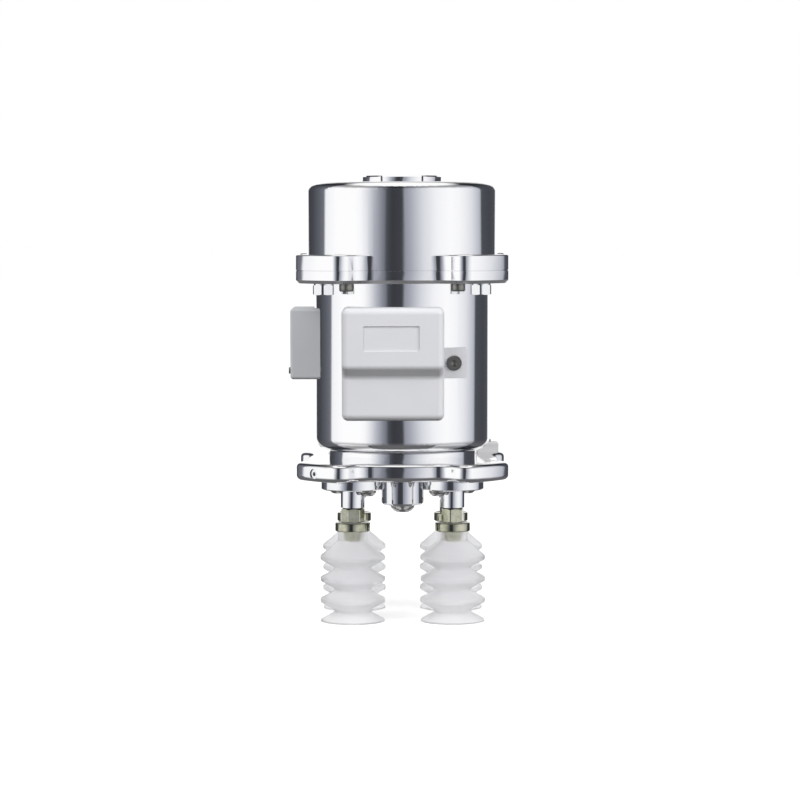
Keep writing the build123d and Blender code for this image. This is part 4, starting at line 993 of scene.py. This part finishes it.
@kept
def thread_ridge(name):
    """Geometry nodes for a helical thread ridge along the rear connector."""
    group, tree, given, result = rule_group(
        name,
        ("Turns", "Float", 6.0),
        ("Radius", "Float", 4.0 * MM),
        ("Length", "Float", 6.0 * MM),
        ("Ridge", "Float", 0.2 * MM),
        ("Place", "Vector", None),
        ("Material", "Material", None),
    )
    radius = given["Radius"]
    helix = tree.node("GeometryNodeCurveSpiral", Resolution=48, Rotations=given["Turns"])
    tree.set(helix, Start_Radius=radius, End_Radius=radius, Height=given["Length"])
    section = tree.node("GeometryNodeCurvePrimitiveCircle", Resolution=6, Radius=given["Ridge"])
    ridge = tree.node("GeometryNodeCurveToMesh", Curve=helix, Profile_Curve=section, Fill_Caps=True)
    turned = tree.node("GeometryNodeTransform", Geometry=ridge, Translation=given["Place"])
    tree.set(turned, Rotation=(math.radians(-90), 0.0, 0.0))
    smooth = tree.node("GeometryNodeSetShadeSmooth", Geometry=turned, Shade_Smooth=True)
    tree.coat(smooth, given, result)
    return group


class GRIPPER_OT_rear_fittings(bpy.types.Operator):
    """Finishes the plug connector and the air inlet, and cuts the connector's thread."""

    bl_idname = "gripper.rear_fittings"
    bl_label = "Connector and air inlet"

    def execute(self, context):
        sizes = context.scene.screw_sizes
        dress("nickel_brass", ("connector_shell", "air_inlet_fitting", "connector_nut"))
        dress("black", ("connector_insert",))
        dress("ring", ("air_inlet_ring",))
        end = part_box("connector_shell")[1][1]
        run, plain_end = 6.2 * MM, 0.7 * MM
        carrier = carrier_of([(0.0, 0.0, 0.0)], [(0.0, 0.0, 0.0)])
        inputs = {
            "Turns": run / sizes.thread_pitch,
            "Radius": 3.93 * MM,
            "Length": run,
            "Ridge": 0.07 * MM + sizes.thread_height,
            "Place": middle_of("connector_shell", 1, end - plain_end - run),
            "Material": look("nickel_brass"),
        }
        mesh = baked(carrier, thread_ridge(), inputs)
        new_piece("connector_thread", mesh, "nickel_brass")
        return {"FINISHED"}


class GRIPPER_OT_inner_works(bpy.types.Operator):
    """Finishes what the housing holds: manifold block, ejector, valves, filter, board and tube."""

    bl_idname = "gripper.inner_works"
    bl_label = "Inner works"

    def execute(self, context):
        works = {
            "bare": ("inner_manifold", "filter_cap"),
            "dark_steel": ("inner_manifold_screws",),
            "black": ("ejector_body", "supply_valve", "release_valve", "pressure_switch"),
            "brass": ("ejector_nozzle", "ejector_diffuser"),
            "foam": ("silencer", "suction_filter"),
            "tube": ("supply_tube",),
            "board": ("control_board",),
            "nickel_brass": ("board_standoffs",),
            "stainless_steel": ("board_screws",),
        }
        for kind, nodes in works.items():
            dress(kind, nodes, mirrored=False)
        return {"FINISHED"}


# Studio

# What the polished metal mirrors, as grey levels by azimuth in degrees from the camera, positive to its
# right: two tall softboxes beside a dark gap at the camera, black flags behind them, and white behind those
STUDIO_RING = (
    (-156, 1.00), (-153, 0.045), (-136, 0.062), (-120, 0.11), (-108, 0.17),
    (-105, 0.90), (-84, 1.00), (-58, 1.00), (-50, 0.95), (-42, 0.74),
    (-34, 0.475), (-26, 0.27), (-20.5, 0.17), (-19, 0.075), (-12, 0.042),
    (0.6, 0.053), (3, 0.30), (10, 0.39), (24.8, 0.685), (32, 0.78),
    (40, 0.88), (48, 0.935), (60, 0.98), (73, 0.94), (82, 0.86),
    (92, 0.74), (104, 0.53), (108.5, 0.42), (110.5, 0.075), (130, 0.06),
    (150, 0.075), (153, 1.00),
)


WHITE = (1.0, 1.0, 1.0, 1.0)


def studio_world(settings):
    """White for the camera, a soft room for matt surfaces, and softboxes with dark flags for glossy ones."""
    world = bpy.data.worlds.new("studio")
    world.use_nodes = True
    world.node_tree.nodes.clear()
    tree = Tree(world.node_tree)
    way = tree.node("ShaderNodeTexCoord")
    apart = tree.node("ShaderNodeSeparateXYZ", Vector=way.outputs["Generated"])
    azimuth = tree.math("ARCTAN2", apart.outputs[0], tree.math("MULTIPLY", apart.outputs[1], -1.0))
    around = tree.math("MULTIPLY_ADD", azimuth, 1 / (2 * math.pi), 0.5)
    ring = tree.node("ShaderNodeValToRGB", Fac=around)
    ramp = ring.color_ramp
    while len(ramp.elements) > 1:
        ramp.elements.remove(ramp.elements[-1])
    for index, (angle, level) in enumerate(STUDIO_RING):
        place = angle / 360 + 0.5
        stop = ramp.elements[0] if index == 0 else ramp.elements.new(place)
        stop.position = place
        cool = 1.0 - level
        stop.color = (level * (1.0 - 0.06 * cool), level, level * (1.0 + 0.20 * cool), 1.0)
    # Heights of a mirrored direction, from -1 straight down to 1 straight up
    height = apart.outputs[2]
    gap = tree.remap(height, 0.40, 0.66, 1.0, 0.36)
    ground = tree.remap(height, -0.55, -0.12, 1.0, 0.0)
    roof = tree.remap(height, 0.78, 0.87, 0.0, 1.0)
    gloss = tree.mix(ground, tree.scaled(ring, gap), (0.125, 0.125, 0.13, 1.0))
    gloss = tree.scaled(tree.mix(roof, gloss, WHITE), settings.softbox)
    low = tree.remap(height, -0.35, 0.30, 0.0, 1.12)
    high = tree.remap(height, 0.30, 0.90, 1.0, 0.55)
    matt = tree.math("MULTIPLY", tree.math("MULTIPLY", low, high), settings.daylight)
    ray = tree.node("ShaderNodeLightPath").outputs
    seen = tree.mix(ray["Is Glossy Ray"], matt, gloss)
    seen = tree.mix(ray["Is Transmission Ray"], seen, WHITE)
    seen = tree.mix(ray["Is Camera Ray"], seen, WHITE)
    backdrop = tree.node("ShaderNodeBackground", Color=seen, Strength=1.0)
    tree.node("ShaderNodeOutputWorld", Surface=backdrop)
    bpy.context.scene.world = world


def floor_material(settings):
    """Pale floor that the camera sees as white, with the gripper's shadow kept."""
    material, tree = new_material("studio_floor")
    place = tree.node("ShaderNodeTexCoord")
    grain = tree.noise(place.outputs["Object"], 900.0, 2.0, 0.5)
    speckle = tree.remap(grain, 0.3, 0.7, 0.0, 0.02)
    tone = tree.mix(speckle, rgba(settings.floor), (0.82, 0.82, 0.82, 1.0))
    ray = tree.node("ShaderNodeLightPath")
    lift = tree.math("MULTIPLY", ray.outputs["Is Camera Ray"], 0.55)
    shader = tree.node("ShaderNodeBsdfPrincipled", Base_Color=tone, Roughness=0.9)
    tree.set(shader, Emission_Color=WHITE, Emission_Strength=lift)
    below = tree.node("ShaderNodeNewGeometry")
    clear = tree.node("ShaderNodeBsdfTransparent")
    sides = tree.node("ShaderNodeMixShader", i0=below.outputs["Backfacing"], i1=shader, i2=clear)
    tree.node("ShaderNodeOutputMaterial", Surface=sides)
    return material


def softbox(name, place, aim, size, power):
    """A soft lamp for the matt surfaces, which polished metal doesn't mirror."""
    lamp = bpy.data.lights.new(name, "AREA")
    lamp.shape = "RECTANGLE"
    lamp.size, lamp.size_y = size
    lamp.energy = power
    holder = new_object(name, lamp)
    holder.location = place
    holder.rotation_mode = "QUATERNION"
    holder.rotation_quaternion = (Vector(aim) - Vector(place)).to_track_quat("-Z", "Y")
    holder.visible_glossy = False
    holder.visible_transmission = False


class GRIPPER_OT_studio(bpy.types.Operator):
    """Sets up the floor, the white room, two soft lamps and the camera."""

    bl_idname = "gripper.studio"
    bl_label = "Studio"

    def execute(self, context):
        scene = context.scene
        settings = scene.studio_settings
        studio_world(settings)
        low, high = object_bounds()
        mesh = bpy.data.meshes.new("floor")
        reach = 6.0
        corners = [(x * reach, y * reach, low.z) for x, y in ((-1, -1), (1, -1), (1, 1), (-1, 1))]
        mesh.from_pydata(corners, [], [(0, 1, 2, 3)])
        mesh.materials.append(floor_material(settings))
        floor = new_object("studio_floor", mesh)
        floor.visible_glossy = False
        floor.visible_transmission = False
        floor.visible_diffuse = False
        floor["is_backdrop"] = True
        centre = (0.0, 0.0, (low.z + high.z) / 2)
        softbox("key_softbox", (-0.55, -0.75, 0.55), centre, (0.7, 0.7), settings.key_power)
        softbox("fill_softbox", (0.80, -0.55, 0.25), centre, (0.6, 0.8), settings.fill_power)
        lens = bpy.data.cameras.new("camera")
        lens.lens = settings.camera_lens
        lens.sensor_width = 36.0
        lens.clip_start = 0.05
        lens.clip_end = 50.0
        camera = new_object("camera", lens)
        camera.location = settings.camera_place
        camera.rotation_mode = "QUATERNION"
        level = Matrix.Rotation(math.pi / 2 - settings.camera_pitch, 3, "X")
        camera.rotation_quaternion = (level @ Matrix.Rotation(settings.camera_roll, 3, "Z")).to_quaternion()
        scene.camera = camera
        scene.view_settings.view_transform = "Standard"
        return {"FINISHED"}


OPERATORS = (
    GRIPPER_OT_polished_bodies,
    GRIPPER_OT_pad_hardware,
    GRIPPER_OT_screws,
    GRIPPER_OT_covers,
    GRIPPER_OT_rear_fittings,
    GRIPPER_OT_inner_works,
    GRIPPER_OT_bellows_cups,
    GRIPPER_OT_studio,
)


class GRIPPER_PT_panel(bpy.types.Panel):
    """Lists the gripper's pieces and their settings."""

    bl_idname = "GRIPPER_PT_panel"
    bl_label = "Vacuum gripper"
    bl_space_type = "VIEW_3D"
    bl_region_type = "UI"
    bl_category = "Gripper"

    def draw(self, context):
        layout = self.layout
        for operator in OPERATORS:
            layout.operator(operator.bl_idname)
        for group in (
            context.scene.bellows_sizes,
            context.scene.screw_sizes,
            context.scene.gripper_finishes,
            context.scene.studio_settings,
        ):
            box = layout.box()
            for name in group.bl_rna.properties.keys():
                if name not in {"rna_type", "name"}:
                    box.prop(group, name)


SETTINGS = (
    ("bellows_sizes", BellowsSizes),
    ("screw_sizes", ScrewSizes),
    ("gripper_finishes", GripperFinishes),
    ("studio_settings", StudioSettings),
)


def register():
    """Registers the settings, the operators and the panel."""
    for name, group in SETTINGS:
        bpy.utils.register_class(group)
        setattr(bpy.types.Scene, name, bpy.props.PointerProperty(type=group))
    for operator in OPERATORS:
        bpy.utils.register_class(operator)
    bpy.utils.register_class(GRIPPER_PT_panel)


def unregister():
    """Takes away what register added."""
    bpy.utils.unregister_class(GRIPPER_PT_panel)
    for operator in reversed(OPERATORS):
        bpy.utils.unregister_class(operator)
    for name, group in reversed(SETTINGS):
        delattr(bpy.types.Scene, name)
        bpy.utils.unregister_class(group)


def main():
    """Registers the classes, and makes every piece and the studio."""
    register()
    for operator in OPERATORS:
        family, name = operator.bl_idname.split(".")
        getattr(getattr(bpy.ops, family), name)()


if __name__ == "__main__":
    main()
